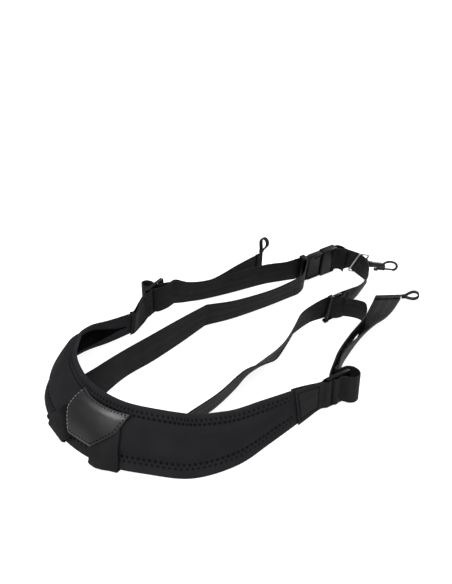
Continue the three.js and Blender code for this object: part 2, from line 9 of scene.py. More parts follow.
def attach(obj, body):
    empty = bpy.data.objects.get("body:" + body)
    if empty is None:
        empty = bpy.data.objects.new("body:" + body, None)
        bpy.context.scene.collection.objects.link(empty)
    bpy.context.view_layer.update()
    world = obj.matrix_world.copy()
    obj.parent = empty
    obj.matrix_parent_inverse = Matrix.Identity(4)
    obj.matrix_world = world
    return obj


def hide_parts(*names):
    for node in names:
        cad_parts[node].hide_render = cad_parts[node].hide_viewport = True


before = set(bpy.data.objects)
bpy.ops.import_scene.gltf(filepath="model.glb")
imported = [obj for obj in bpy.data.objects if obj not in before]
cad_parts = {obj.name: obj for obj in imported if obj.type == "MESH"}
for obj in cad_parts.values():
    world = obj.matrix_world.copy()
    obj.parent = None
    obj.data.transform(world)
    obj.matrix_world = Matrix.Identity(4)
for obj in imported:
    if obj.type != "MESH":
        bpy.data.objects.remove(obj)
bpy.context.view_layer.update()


# The table and the light: a wide white sheet under the harness, a white room that gives less light from its left,
# and three soft lamps. The camera stands in front of the pad's right side and looks down at about thirty degrees.
camera = bpy.data.objects.new("camera", bpy.data.cameras.new("camera"))
camera.data.lens = 50
camera.data.sensor_width = 36
camera.data.clip_start = 0.02
camera.data.clip_end = 40
camera_pitch = math.radians(31.5)
camera_look = Vector((-math.sqrt(0.5) * math.cos(camera_pitch), math.sqrt(0.5) * math.cos(camera_pitch),
                      -math.sin(camera_pitch)))
camera.rotation_mode = "QUATERNION"
camera.location = (0.6026, -0.6605, 0.6292)
camera.rotation_quaternion = camera_look.to_track_quat("-Z", "Y")
bpy.context.scene.collection.objects.link(camera)
bpy.context.scene.camera = camera
bpy.context.scene.view_settings.view_transform = "Standard"


def fill_inputs(tree, node, inputs):
    """Fills a node's inputs, given by name or place: another node's output is linked, and anything else is set."""
    for key, value in inputs.items():
        if isinstance(value, bpy.types.NodeSocket):
            tree.links.new(value, node.inputs[key])
        else:
            node.inputs[key].default_value = value
    return node


def add_node(tree, kind, inputs, **settings):
    """A new node of a tree, with its settings made before its inputs are filled."""
    made = tree.nodes.new(kind)
    for key, value in settings.items():
        setattr(made, key, value)
    return fill_inputs(tree, made, inputs)


def new_finish(name):
    """A material, its node tree and its shader."""
    finish = bpy.data.materials.new(name)
    finish.use_nodes = True
    return finish, finish.node_tree, finish.node_tree.nodes["Principled BSDF"]


table_half = 9
table_drop = 0.0003
table_mesh = bpy.data.meshes.new("table")
table_corners = [(x * table_half, y * table_half, -table_drop) for x, y in ((-1, -1), (1, -1), (1, 1), (-1, 1))]
table_mesh.from_pydata(table_corners, [], [(0, 1, 2, 3)])
table = bpy.data.objects.new("table", table_mesh)
bpy.context.scene.collection.objects.link(table)
table_finish, table_tree, table_shader = new_finish("table_white")
fill_inputs(table_tree, table_shader, {
    "Base Color": (0.4, 0.4, 0.4, 1), "Roughness": 0.9, "Specular IOR Level": 0.1,
    "Emission Color": (1, 1, 1, 1), "Emission Strength": 0.86,
})
table_mesh.materials.append(table_finish)

# The room's light falls off away from its bright side, and the camera sees the room as plain white.
room = bpy.data.worlds.new("room")
room.use_nodes = True
room_tree = room.node_tree
room_bright_side = (0.6, 0.25, 0.75)
room_way = add_node(room_tree, "ShaderNodeTexCoord", {}).outputs["Generated"]
room_side = add_node(room_tree, "ShaderNodeVectorMath", {0: room_way, 1: room_bright_side}, operation="DOT_PRODUCT")
room_glow = add_node(room_tree, "ShaderNodeMapRange", {
    "Value": room_side.outputs["Value"], "From Min": -0.5, "From Max": 0.5, "To Min": 0.2, "To Max": 1.0,
}, interpolation_type="SMOOTHSTEP")
room_seen = add_node(room_tree, "ShaderNodeLightPath", {}).outputs["Is Camera Ray"]
room_white = add_node(room_tree, "ShaderNodeMath", {0: room_glow.outputs[0], 1: room_seen}, operation="MAXIMUM")
fill_inputs(room_tree, room_tree.nodes["Background"], {"Color": (1, 1, 1, 1), "Strength": room_white.outputs[0]})
bpy.context.scene.world = room
# name, place, aimed at, width, height, watts
for lamp_name, lamp_place, lamp_aim, lamp_wide, lamp_high, lamp_power in [
    ("overhead_lamp", (0.1, 0.2, 1.5), (0, 0, 0), 1.2, 1.2, 3),
    ("front_lamp", (-0.36, -1.05, 1.22), (0.03, -0.2, 0.04), 0.4, 0.55, 12),
    ("back_lamp", (-0.1, 1.3, 0.6), (0, 0, 0.03), 0.6, 0.6, 18),
]:
    lamp = bpy.data.objects.new(lamp_name, bpy.data.lights.new(lamp_name, "AREA"))
    lamp.data.shape = "RECTANGLE"
    lamp.data.size = lamp_wide
    lamp.data.size_y = lamp_high
    lamp.data.energy = lamp_power
    lamp.location = lamp_place
    lamp.rotation_mode = "QUATERNION"
    lamp.rotation_quaternion = (Vector(lamp_aim) - Vector(lamp_place)).to_track_quat("-Z", "Y")
    bpy.context.scene.collection.objects.link(lamp)


# Yoke pad: foam under charcoal knit that goes round the back of the neck and down the front of both shoulders.
# It stands on its long outer edge and leans inwards, with a raised panel between two flat, sewn bands.
millimetre = 0.001
harness_middle = np.array([0, 292.9, 0])


def smooth_line(points):
    """A line through the points, as a function of the share of the way along them."""
    p = np.asarray(points, float)
    p = np.vstack([2 * p[0] - p[1], p, 2 * p[-1] - p[-2]])
    spans = len(p) - 3

    def at(t):
        t = np.clip(np.asarray(t, float), 0, 1) * spans
        i = np.minimum(t.astype(int), spans - 1)
        w = (t - i)[..., None]
        a, b, c, d = p[i], p[i + 1], p[i + 2], p[i + 3]
        return b + 0.5 * w * (c - a + w * (2 * a - 5 * b + 4 * c - d + w * (3 * (b - c) + d - a)))

    return at


def unit(v):
    return v / np.linalg.norm(v, axis=-1, keepdims=True)


def way_along(line, t):
    t = np.asarray(t, float)
    return unit(line(np.minimum(t + 1e-4, 1)) - line(np.maximum(t - 1e-4, 0)))


def ease(x, low, high):
    s = np.clip((np.asarray(x, float) - low) / (high - low), 0, 1)
    return s * s * (3 - 2 * s)


# x, y, rise of the foot, inward lean, width
pad_stations = np.array([
    [-138, 193, 1.3, 13, 37.5],
    [-142.5, 154, 0.4, 17, 46],
    [-149, 115, 0.3, 25, 60],
    [-141, 70, 0.4, 33, 74],
    [-103, 26, 2.4, 36, 75],
    [-52, 3, 2.4, 36, 75],
    [-4, -3, 2.4, 35, 75],
    [44, 5, 2.6, 35, 74],
    [86, 27.5, 3, 35, 72],
    [124, 60, 0.4, 33, 71],
    [144, 108.5, 0.4, 27, 64],
    [146, 160, 1, 18, 55],
    [147, 213, 3, 9, 45],
])
pad_foot = smooth_line(pad_stations[:, :3])
pad_form = smooth_line(pad_stations[:, 3:])
pad_curl, pad_end_curl = 12, 0.5
pad_curl_run = 0.01, 0.12
pad_band = 13
pad_shoulder = 9
pad_foot_set = 3.6
pad_foot_set_run = 2.5, 8.5
pad_edge = 1.75
pad_edge_round = 2.5
pad_panel = 5.2
pad_panel_fade = 0.09
pad_end = 1.3
pad_end_slope = 22
level_up = np.array([0, 0, 1.0])


def pad_frame(t, up):
    """Place, outward, along and rising directions of the pad's middle layer at t along it and up from its foot."""
    t, up = np.broadcast_arrays(np.asarray(t, float), np.asarray(up, float))
    foot = pad_foot(t)
    lean, width = np.moveaxis(pad_form(t), -1, 0)
    along = way_along(pad_foot, t)
    along = unit(along * [1, 1, 0])
    inward = np.cross(level_up, along)
    curl = pad_end_curl + pad_curl * ease(np.minimum(t, 1 - t), *pad_curl_run)
    bend = 2 * np.radians(curl) / width
    low = np.radians(lean - curl)
    angle = low + bend * up
    rise = (np.sin(angle) - np.sin(low)) / bend
    reach = (np.cos(low) - np.cos(angle)) / bend
    place = foot + inward * reach[..., None] + level_up * rise[..., None]
    out = -inward * np.cos(angle)[..., None] + level_up * np.sin(angle)[..., None]
    rising = inward * np.sin(angle)[..., None] + level_up * np.cos(angle)[..., None]
    return place, out, along, rising


def pad_width(t):
    return pad_form(np.asarray(t, float))[..., 1]


def pad_face(t, up):
    """Height of the outer face over the middle layer."""
    inset = np.minimum(up - pad_foot_set * ease(up, *pad_foot_set_run), pad_width(t) - up)
    band = pad_edge * np.sqrt(np.clip(inset / pad_edge_round, 0, 1))
    fade = ease(t, 0, pad_panel_fade) * (1 - ease(t, 1 - pad_panel_fade, 1))
    panel = (pad_panel - pad_edge) * ease(inset, pad_band, pad_band + pad_shoulder) * fade
    edge = pad_end + (pad_edge - pad_end) * np.minimum(1, np.minimum(t, 1 - t) * pad_end_slope)
    return band * edge / pad_edge + panel


def on_pad(t, up, lift):
    place, out, _, _ = pad_frame(t, up)
    return place + out * np.asarray(lift, float)[..., None]


def lengths_along(points):
    """The length along a line at each of its points."""
    return np.concatenate([[0], np.cumsum(np.linalg.norm(np.diff(points, axis=0), axis=1))])


# Length along the pad's foot at each t, for stitches and cloth that keep their pitch.
pad_steps = np.linspace(0, 1, 1201)
pad_reach = lengths_along(pad_foot(pad_steps))


def new_piece(name, points, faces, uvs, finish):
    """A mesh piece from points in millimetres of the lay-out, with a UV in metres for each corner of each face."""
    mesh = bpy.data.meshes.new(name)
    mesh.from_pydata(((points - harness_middle) * millimetre).tolist(), [], faces)
    if uvs is not None:
        layer = mesh.uv_layers.new(name="cloth")
        layer.data.foreach_set("uv", (np.asarray(uvs, np.float32) * millimetre).ravel())
    mesh.materials.append(finish)
    mesh.polygons.foreach_set("use_smooth", [True] * len(mesh.polygons))
    mesh.set_sharp_from_angle(angle=math.radians(55))
    mesh.update()
    piece = bpy.data.objects.new(name, mesh)
    bpy.context.scene.collection.objects.link(piece)
    return piece


def skin(name, loops, lengths, girths, finish):
    """A closed tube of faces over a row of loops, out along one face and back along the other, with its ends closed.
    lengths gives each loop's distance along the piece and girths each point's distance round it."""
    loops = np.asarray(loops, float)
    rows, count = loops.shape[:2]
    girths = np.broadcast_to(girths, (rows, count))
    faces, uvs = [], []
    for i in range(rows - 1):
        for j in range(count):
            k = (j + 1) % count
            faces.append((i * count + j, i * count + k, (i + 1) * count + k, (i + 1) * count + j))
            ends = [girths[i, j], girths[i, k], girths[i + 1, k], girths[i + 1, j]]
            if k == 0:
                ends[1], ends[2] = ends[0] + 0.5, ends[3] + 0.5
            near, far = lengths[i], lengths[i + 1]
            uvs += [(near, ends[0]), (near, ends[1]), (far, ends[2]), (far, ends[3])]
    for end in (0, rows - 1):
        for j in range(count // 2 - 1):
            quad = [end * count + k for k in (j, j + 1, count - 2 - j, count - 1 - j)]
            faces.append(tuple(quad[::-1] if end == 0 else quad))
            uvs += [(lengths[end], girths[end, q % count]) for q in faces[-1]]
    points = loops.reshape(-1, 3)
    a, b, c = (points[[f[k] for f in faces]] for k in range(3))
    if np.einsum("ij,ij->i", a - points[0], np.cross(b - points[0], c - points[0])).sum() < 0:
        faces = [f[::-1] for f in faces]
        uvs = [uvs[4 * n + k] for n in range(len(faces)) for k in (3, 2, 1, 0)]
    return new_piece(name, points, faces, uvs, finish)


def mark_painted_shade(piece, rows):
    """Stores how dark each point of a piece is painted for its finish, mostly painted shade in seam grooves, holes
    and shaded places.
    """
    layer = piece.data.attributes.new("sewn", "FLOAT", "POINT")
    layer.data.foreach_set("value", np.concatenate(rows).astype(np.float32))


def noise(tree, source, scale, detail):
    return add_node(tree, "ShaderNodeTexNoise", {"Vector": source, "Scale": scale, "Detail": detail}).outputs["Fac"]


def tone_ramp(tree, source, colour, *stops):
    """Shares of one colour along a source. Each stop is a place on the ramp and the colour's share there."""
    ramp = add_node(tree, "ShaderNodeValToRGB", {"Fac": source})
    for element, (place, share) in zip(ramp.color_ramp.elements, stops):
        element.position = place
        element.color = (*[share * c for c in colour], 1)
    return ramp.outputs["Color"]


def cloth_finish(name, colour, rough, pitch, relief, mottle, gloss, lanes=0.0, sewn=False):
    """A woven or knitted cloth: rows of yarn on the UV with painted shade between them, soft mottling, and painted
    shade where sewn.
    pitch is the yarn's pitch along and across in metres, relief its height, lanes the height of lengthwise ribs."""
    finish, tree, shader = new_finish(name)
    rib_pitch = 0.0127
    seam_shade_share = 0.12

    def sums(operation, *values):
        return add_node(tree, "ShaderNodeMath", dict(enumerate(values)), operation=operation).outputs[0]

    def waves(way, spacing):
        return sums("SINE", sums("MULTIPLY", way, 2 * math.pi / spacing))

    cloth = add_node(tree, "ShaderNodeUVMap", {}, uv_map="cloth").outputs["UV"]
    split = add_node(tree, "ShaderNodeSeparateXYZ", {0: cloth}).outputs
    yarn = sums("MULTIPLY", waves(split[0], pitch[0]), waves(split[1], pitch[1]))
    place = add_node(tree, "ShaderNodeTexCoord", {}).outputs["Object"]
    fuzz = noise(tree, place, 2200, 3)
    wear = noise(tree, place, 40, 5)
    drawn = add_node(tree, "ShaderNodeMapping", {"Vector": cloth, "Scale": (14, 170, 1)}).outputs[0]
    streak = noise(tree, drawn, 1, 3)
    height = sums("MULTIPLY_ADD", yarn, 0.5, sums("MULTIPLY", fuzz, 0.7))
    if lanes:
        ribs = sums("ADD", waves(split[1], rib_pitch), sums("MULTIPLY", streak, 0.7))
        height = sums("MULTIPLY_ADD", ribs, lanes / relief, height)
    bump = add_node(tree, "ShaderNodeBump", {"Strength": 0.8, "Distance": relief, "Height": height})
    # Yarn crests painted lighter and the hollows between them painted darker, over random mottling and lengthwise
    # streaks.
    tone_and_yarn_shade = sums("MULTIPLY_ADD", yarn, 0.22, sums("MULTIPLY_ADD", wear, 1.3, sums("MULTIPLY_ADD", streak, 0.4, -0.35)))
    base = tone_ramp(tree, tone_and_yarn_shade, colour, (0, 1 - mottle), (1, 1 + mottle))
    # Painted shade: the sewn attribute darkens the colour towards a small share of itself in seam grooves, needle
    # holes, hem steps and shaded places.
    if sewn:
        depth = add_node(tree, "ShaderNodeAttribute", {}, attribute_name="sewn").outputs["Fac"]
        seam_shade_mix = {"Factor": depth, "A": base, "B": (*[seam_shade_share * c for c in colour], 1)}
        base = add_node(tree, "ShaderNodeMix", seam_shade_mix, data_type="RGBA").outputs["Result"]
    matt = sums("MULTIPLY_ADD", fuzz, 0.2, sums("MULTIPLY_ADD", streak, 0.16, rough - 0.18))
    fill_inputs(tree, shader, {
        "Base Color": base, "Roughness": matt, "Normal": bump.outputs["Normal"], "Specular IOR Level": gloss,
    })
    return finish


pad_knit = cloth_finish(
    "pad_knit", (0.0175, 0.0175, 0.0193), rough=0.85, pitch=(0.0012, 0.001), relief=0.0002, mottle=0.22, gloss=0.02,
    sewn=True)


def hump(x, spread):
    return np.exp(-((x / spread) ** 2))


pad_rows = 640
pad_stitch = 6.5
pad_first = 14
pad_outer_row, pad_inner_row = 7, 12.8
# Where the pad is narrower than this, its seams lie closer to its edges.
pad_full_width = 53
pad_insets = np.array([
    0.15, 0.6, 1.4, 2.5, 4.2, 5.4, 6, 6.5, 7, 7.5, 8, 8.8, 10, 11.2, 11.8, 12.3, 12.8, 13.3, 13.8, 14.6,
    16, 18, 20, 22, 26,
])
pad_backs = np.linspace(0.1, 0.9, 9)
pad_loops, pad_girths, pad_shade_and_panel_tone = [], [], []
for pad_t in np.linspace(0, 1, pad_rows):
    w = float(pad_width(pad_t))
    narrow = min(1, w / pad_full_width)
    foot_up = (pad_insets + pad_foot_set * ease(pad_insets, 2, 5.4)) * narrow
    up = np.concatenate([[0], foot_up, [w / 2], (w - pad_insets * narrow)[::-1], [w]])
    inset = np.concatenate([[0], pad_insets, [w / 2 / narrow], pad_insets[::-1], [0]])
    distance = np.interp(pad_t, pad_steps, pad_reach)
    needle = (distance - pad_first) / pad_stitch
    near_outer = (needle - round(needle)) * pad_stitch
    near_inner = (needle - 0.5 - round(needle - 0.5)) * pad_stitch
    held = float(pad_first - 2 < distance < pad_reach[-1] - pad_first + 2)
    # The thread draws the knit in along two lines, most at its needle holes, and the knit puffs out beside them.
    outer_line, inner_line = hump(inset - pad_outer_row, 1.25), hump(inset - pad_inner_row, 1.2)
    outer_hole, inner_hole = outer_line * hump(near_outer, 1.6), inner_line * hump(near_inner, 1.5)
    puff = 0.4 * hump(inset - 9.9, 2) + 0.25 * hump(inset - 3.8, 2)
    drawn_in = 0.1 * outer_line + 1.2 * outer_hole + 0.45 * inner_line + 1.2 * inner_hole
    lift = pad_face(pad_t, up) + held * (puff - drawn_in) * np.clip(inset / 2, 0, 1)
    down = np.concatenate([[w - 0.6, w - 2.5], (pad_backs * w)[::-1], [2.5, 0.6]])
    pad_loops.append(np.concatenate([
        on_pad(pad_t, up, lift), on_pad(pad_t, down, -np.minimum(pad_face(pad_t, down), pad_edge))]))
    pad_girths.append(np.concatenate([up, 2 * w - down]))
    # Painted shade: darker in the needle holes and along the thread's zigzag between them, weaker towards the pad's
    # right end; the raised panel is also a little darker than its bands.
    across = 1 - abs(2 * (needle - math.floor(needle)) - 1)
    thread = hump(inset - pad_outer_row - (pad_inner_row - pad_outer_row) * across, 1.1)
    shade = np.where(up < w / 2, 0.4, 0.5)
    painted_shade = shade * outer_hole + 0.16 * inner_line + 0.45 * inner_hole + 0.3 * thread
    painted_shade = held * (1 - 0.4 * float(ease(pad_t, 0.7, 0.95))) * np.clip(painted_shade, 0, 1)
    pad_shade_and_panel_tone.append(np.concatenate([np.maximum(painted_shade, 0.16 * ease(inset, 13, 17)), np.zeros(len(down))]))
pad_lengths = np.interp(np.linspace(0, 1, pad_rows), pad_steps, pad_reach)
pad = skin("yoke_pad", pad_loops, pad_lengths, pad_girths, pad_knit)
mark_painted_shade(pad, pad_shade_and_panel_tone)
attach(pad, "root")
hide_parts("pad_body")


# Zigzag seams of the pad: one row of black thread along each band, thrown to and fro between two lines.
# The thread draws the knit down at every needle hole.
def plain_finish(name, colour, rough, metal=0.0, grain=900.0, relief=0.00004, spread=0.08, specular=0.5):
    """A moulded, cast or spun finish: one colour, a little uneven, with fine grain in its bump and uneven gloss."""
    finish, tree, shader = new_finish(name)
    place = add_node(tree, "ShaderNodeTexCoord", {}).outputs["Object"]
    broad = noise(tree, place, 70, 4)
    fine = noise(tree, place, grain, 4)
    bump = add_node(tree, "ShaderNodeBump", {"Strength": 0.5, "Distance": relief, "Height": fine})
    gloss = add_node(tree, "ShaderNodeMapRange", {"Value": broad, "To Min": rough - spread, "To Max": rough + spread})
    fill_inputs(tree, shader, {
        "Base Color": tone_ramp(tree, broad, colour, (0.3, 0.85), (0.7, 1.15)), "Roughness": gloss.outputs[0],
        "Normal": bump.outputs["Normal"], "Metallic": metal, "Specular IOR Level": specular,
    })
    return finish


def stitch_tree():
    """Geometry nodes that lay one short length of thread on each edge of a mesh, over its named outward direction."""
    tree = bpy.data.node_groups.new("stitch_rows", "GeometryNodeTree")
    tree.interface.new_socket("Seam", in_out="INPUT", socket_type="NodeSocketGeometry")
    for name, value in (("Thread width", 0.0008), ("Thread height", 0.0005), ("Stitch share", 0.8)):
        tree.interface.new_socket(name, in_out="INPUT", socket_type="NodeSocketFloat").default_value = value
    tree.interface.new_socket("Thread", in_out="INPUT", socket_type="NodeSocketMaterial")
    tree.interface.new_socket("Stitches", in_out="OUTPUT", socket_type="NodeSocketGeometry")

    def output(kind, inputs, name=0, **settings):
        return add_node(tree, kind, inputs, **settings).outputs[name]

    given = tree.nodes.new("NodeGroupInput").outputs
    ends = tree.nodes.new("GeometryNodeInputMeshEdgeVertices").outputs
    span = output("ShaderNodeVectorMath", {0: ends["Position 2"], 1: ends["Position 1"]}, operation="SUBTRACT")
    length = output("ShaderNodeVectorMath", {0: span}, "Value", operation="LENGTH")
    outward = output("GeometryNodeInputNamedAttribute", {"Name": "outward"}, "Attribute", data_type="FLOAT_VECTOR")
    kept = tree.nodes.new("GeometryNodeCaptureAttribute")
    kept.domain = "EDGE"
    for kind, name in (("VECTOR", "span"), ("FLOAT", "length"), ("VECTOR", "outward")):
        kept.capture_items.new(kind, name)
    fill_inputs(tree, kept, {"Geometry": given["Seam"], "span": span, "length": length, "outward": outward})
    spots = output("GeometryNodeMeshToPoints", {"Mesh": kept.outputs["Geometry"]}, "Points", mode="EDGES")
    turn = output("FunctionNodeAxesToRotation", {
        "Primary Axis": kept.outputs["span"], "Secondary Axis": kept.outputs["outward"],
    }, "Rotation", primary_axis="X", secondary_axis="Z")
    long = output("ShaderNodeMath", {0: kept.outputs["length"], 1: given["Stitch share"]}, operation="MULTIPLY")
    size = output("ShaderNodeCombineXYZ", {"X": long, "Y": given["Thread width"], "Z": given["Thread height"]})
    thread = output("GeometryNodeMeshUVSphere", {"Segments": 8, "Rings": 4, "Radius": 0.5}, "Mesh")
    laid = output("GeometryNodeInstanceOnPoints", {
        "Points": spots, "Instance": thread, "Rotation": turn, "Scale": size,
    }, "Instances")
    real = output("GeometryNodeRealizeInstances", {"Geometry": laid}, "Geometry")
    painted = output("GeometryNodeSetMaterial", {"Geometry": real, "Material": given["Thread"]}, "Geometry")
    fill_inputs(tree, tree.nodes.new("NodeGroupOutput"), {"Stitches": painted})
    return tree


stitch_rows = stitch_tree()


def settled(piece, modifier):
    """Makes what a modifier gives the piece's own smooth mesh, and takes the modifier off it."""
    made = bpy.data.meshes.new_from_object(piece.evaluated_get(bpy.context.evaluated_depsgraph_get()))
    piece.modifiers.remove(modifier)
    piece.data = made
    made.name = piece.name
    made.polygons.foreach_set("use_smooth", [True] * len(made.polygons))
    return made


def sew(name, starts, ends, outs, thread, width, height, share):
    """One piece of stitches from each start to its end, in millimetres, as a plain mesh that rides on the harness."""
    pairs = (np.stack([starts, ends], axis=1).reshape(-1, 3) - harness_middle) * millimetre
    seam = bpy.data.meshes.new(name + "_seam")
    seam.from_pydata(pairs.tolist(), [(2 * i, 2 * i + 1) for i in range(len(starts))], [])
    outward = seam.attributes.new("outward", "FLOAT_VECTOR", "POINT")
    outward.data.foreach_set("vector", np.repeat(np.asarray(outs, np.float32), 2, axis=0).ravel())
    sewn = bpy.data.objects.new(name, seam)
    bpy.context.scene.collection.objects.link(sewn)
    nodes = sewn.modifiers.new("stitches", "NODES")
    nodes.node_group = stitch_rows
    wanted = {
        "Thread width": width * millimetre, "Thread height": height * millimetre,
        "Stitch share": share, "Thread": thread,
    }
    for item in stitch_rows.interface.items_tree:
        if item.name in wanted:
            nodes[item.identifier] = wanted[item.name]
    settled(sewn, nodes)
    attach(sewn, "root")


black_thread = plain_finish("black_thread", (0.002, 0.002, 0.0022), rough=0.8, grain=3000, specular=0.02)

zig_distance = np.arange(pad_first, pad_reach[-1] - pad_first, pad_stitch / 2)
zig_t = np.interp(zig_distance, pad_reach, pad_steps)
zig_short = 0.3
zig_sunk = 0.2
zig_rows = np.where(np.arange(len(zig_t)) % 2 == 0, pad_outer_row + zig_short, pad_inner_row - zig_short)
for band_name, from_foot in (("foot", True), ("top", False)):
    zig_inset = (zig_rows + pad_foot_set * from_foot) * np.minimum(1, pad_width(zig_t) / pad_full_width)
    zig_up = zig_inset if from_foot else pad_width(zig_t) - zig_inset
    zig_points = on_pad(zig_t, zig_up, pad_face(zig_t, zig_up) - zig_sunk)
    zig_outs = pad_frame(zig_t, zig_up)[1]
    sew("pad_seam_" + band_name, zig_points[:-1], zig_points[1:], zig_outs[:-1], black_thread,
        width=0.8, height=1.1, share=0.98)


# Lining: a soft black pile panel, pointed at both ends.
# It is sewn to the pad's inner face and puffs out a little between its edges.
lining_pile = cloth_finish(
    "lining_pile", (0.003, 0.003, 0.0032), rough=0.95, pitch=(0.0021, 0.0018), relief=0.0009, mottle=0.95, gloss=0.0)
lining_start, lining_end = 0.03, 0.97
lining_low, lining_high = 10, 13
lining_thick = 2.2
lining_rear = pad_edge + 0.5
lining_side = np.linspace(-1, 1, 17)
lining_share = np.linspace(0, 1, 160)
lining_t = lining_start + (lining_end - lining_start) * lining_share
lining_loops, lining_girths = [], []
for lining_s, t in zip(lining_share, lining_t):
    taper = 0.12 + 0.88 * float(ease(min(lining_s, 1 - lining_s), 0, 0.12))
    w = float(pad_width(t))
    middle = (lining_low + w - lining_high) / 2
    half = (w - lining_high - lining_low) / 2 * taper
    puff = lining_thick * taper * np.sqrt(1 - 0.86 * lining_side**2)
    face = on_pad(t, middle + half * lining_side, -lining_rear - puff)
    rear = on_pad(t, middle + half * lining_side[::-1], np.full(len(lining_side), -lining_rear))
    lining_loops.append(np.concatenate([face, rear]))
    lining_girths.append(np.concatenate([half * lining_side, 2 * half + half * lining_side]))
lining = skin("pad_lining_panel", lining_loops, np.interp(lining_t, pad_steps, pad_reach), lining_girths, lining_pile)
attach(lining, "root")
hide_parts("pad_lining")


# Webbing straps: flat black nylon, 38 mm wide, woven with soft lanes along it, that lies on edge as it was laid down.
# Each strap is drawn from rows of its lower edge and from rows that thread it through its fittings.
# A tail is folded back on itself at its end and sewn across, which makes a hem.
web_width = 38
web_thick = 1.6
web_steps = 7
web_stitch = 3.2
hem_long = 13
hem_thick = 3.4
hem_step = 0.35
hem_seam = 10.5
hem_seam_half = 17


def on_edge(rows):
    """Stations of a strap on its edge. x, y, rise, lean to the left of its way, and skew for rows that have it."""
    rows = [tuple(r) + (0,) * (5 - len(r)) for r in rows]
    lift = [0.1 + web_thick / 2 * abs(math.sin(math.radians(r[3]))) for r in rows]
    foot = smooth_line([(r[0], r[1], r[2] + up) for r, up in zip(rows, lift)])
    made = []
    for i, (_, _, _, lean, skew) in enumerate(rows):
        t = i / (len(rows) - 1)
        along = way_along(foot, t)
        left = unit(np.cross(level_up, along))
        top = np.cross(along, left)
        across = top * math.cos(math.radians(lean)) + left * math.sin(math.radians(lean))
        across = np.array(Matrix.Rotation(math.radians(skew), 3, "Z") @ Vector(across))
        made.append((foot(t) + across * web_width / 2, across, web_width))
    return made


def placed(origin, axes, steps):
    """Points that lie so many steps along three axes from an origin."""
    x, y, z = (np.asarray(s, float)[..., None] for s in np.broadcast_arrays(*steps))
    return origin + axes[0] * x + axes[1] * y + axes[2] * z


class Fitting:
    """A flat fitting on edge: p runs along it, q out of its face and z up. Its tilt leans it towards its face."""

    def __init__(self, place, heading, tilt=0.0, sideways=1):
        heading, tilt = math.radians(heading), math.radians(tilt)
        level = np.array([math.cos(heading), -math.sin(heading), 0]) * sideways
        self.origin = np.array(place, float)
        self.along = np.array([math.sin(heading), math.cos(heading), 0])
        self.out = level * math.cos(tilt) - level_up * math.sin(tilt)
        self.rise = level_up * math.cos(tilt) + level * math.sin(tilt)

    def at(self, p, q, z):
        return placed(self.origin, (self.along, self.out, self.rise), (p, q, z))

    def threaded(self, foot, rows):
        return [(self.at(p, q, foot + web_width / 2), self.rise, web_width) for p, q in rows]


def strap_rings(stations, steps=web_steps, thick=web_thick, hemmed=False):
    """Middle, half width, face direction, half thickness and length along at each ring of a strap."""
    middle = smooth_line([s[0] for s in stations])
    across = smooth_line([np.asarray(s[1]) * s[2] / 2 for s in stations])
    t = np.linspace(0, 1, (len(stations) - 1) * steps + 1)
    if hemmed:
        fine = np.linspace(0, 1, 4001)
        way = lengths_along(middle(fine))
        t = np.union1d(t, np.interp(way[-1] - hem_long + np.array([-hem_step, 0.0, hem_step]), way, fine))
    place, half = middle(t), across(t)
    face = unit(np.cross(way_along(middle, t), half))
    length = lengths_along(place)
    depth = np.full(len(t), thick / 2)
    if hemmed:
        hem_start = length[-1] - hem_long
        depth += (hem_thick - thick) / 2 * ease(length, hem_start - hem_step, hem_start + hem_step)
    return place, half, face, depth, length


def strap(name, rings, hemmed=False, slack=None, shade_at=None):
    """A strap with rounded selvedges. slack gives how far each point of a ring hangs off its line, and shade_at the
    painted shade on it, from the length along it and the distance off its middle line."""
    place, half, face, depth, length = rings
    wide = np.linalg.norm(half, axis=1)
    edge_inset = np.array([0, 0.12, 0.4, 0.9, 2, 4, 7, 10.5, 14])
    edge_share = np.array([0.2, 0.62, 0.88, 1, 1, 1, 1, 1, 1])
    loops, girths, drawn = [], [], []
    for m, h, f, d, w, l in zip(place, half, face, depth, wide, length):
        side = 1 - edge_inset * min(1, w / (web_width / 2)) / w
        a = np.concatenate([-side, [0], side[::-1]])
        b = np.concatenate([edge_share, [1], edge_share[::-1]]) * d
        line = m + np.outer(a, h)
        if slack:
            line = line + slack(l, a)
        loops.append(np.concatenate([line + np.outer(b, f), (line - np.outer(b, f))[::-1]]))
        girths.append(np.concatenate([a * w, a[::-1] * w]))
        # Painted shade along the step where a hem's second ply ends, and the painted shade that shade_at gives.
        painted_shade = np.full(2 * len(a), 0.95 * hump(l - length[-1] + hem_long, 0.9) if hemmed else 0.0)
        drawn.append(np.maximum(painted_shade, shade_at(l, girths[-1])) if shade_at else painted_shade)
    made = skin(name, loops, length, girths, nylon_web)
    if hemmed or shade_at:
        mark_painted_shade(made, drawn)
    return made


def on_strap(rings, length, off, side):
    """Points on one face of a strap, at a length along it and a distance off its middle, and the way out of it."""
    place, half, face, depth, way = rings
    row = np.interp(length, way, np.arange(len(way)))
    i = np.minimum(row.astype(int), len(way) - 2)
    w = (row - i)[:, None]
    mix = lambda v: v[i] * (1 - w) + v[i + 1] * w
    out = unit(mix(face)) * side
    return mix(place) + unit(mix(half)) * np.asarray(off)[:, None] + out * mix(depth[:, None]), out


def sew_line(name, rings, corners, side):
    """Black stitches on one face of a strap, from corner to corner: lengths along it and distances off its middle."""
    starts, ends, outs = [], [], []
    for (l0, c0), (l1, c1) in zip(corners[:-1], corners[1:]):
        count = max(1, round(math.hypot(l1 - l0, c1 - c0) / web_stitch))
        share = np.linspace(0, 1, count + 1)
        points, out = on_strap(rings, l0 + (l1 - l0) * share, c0 + (c1 - c0) * share, side)
        starts.append(points[:-1])
        ends.append(points[1:])
        outs.append(out[:-1])
    starts, ends, outs = (np.concatenate(rows) for rows in (starts, ends, outs))
    sew(name, starts, ends, outs, black_thread, width=1.0, height=0.8, share=0.78)


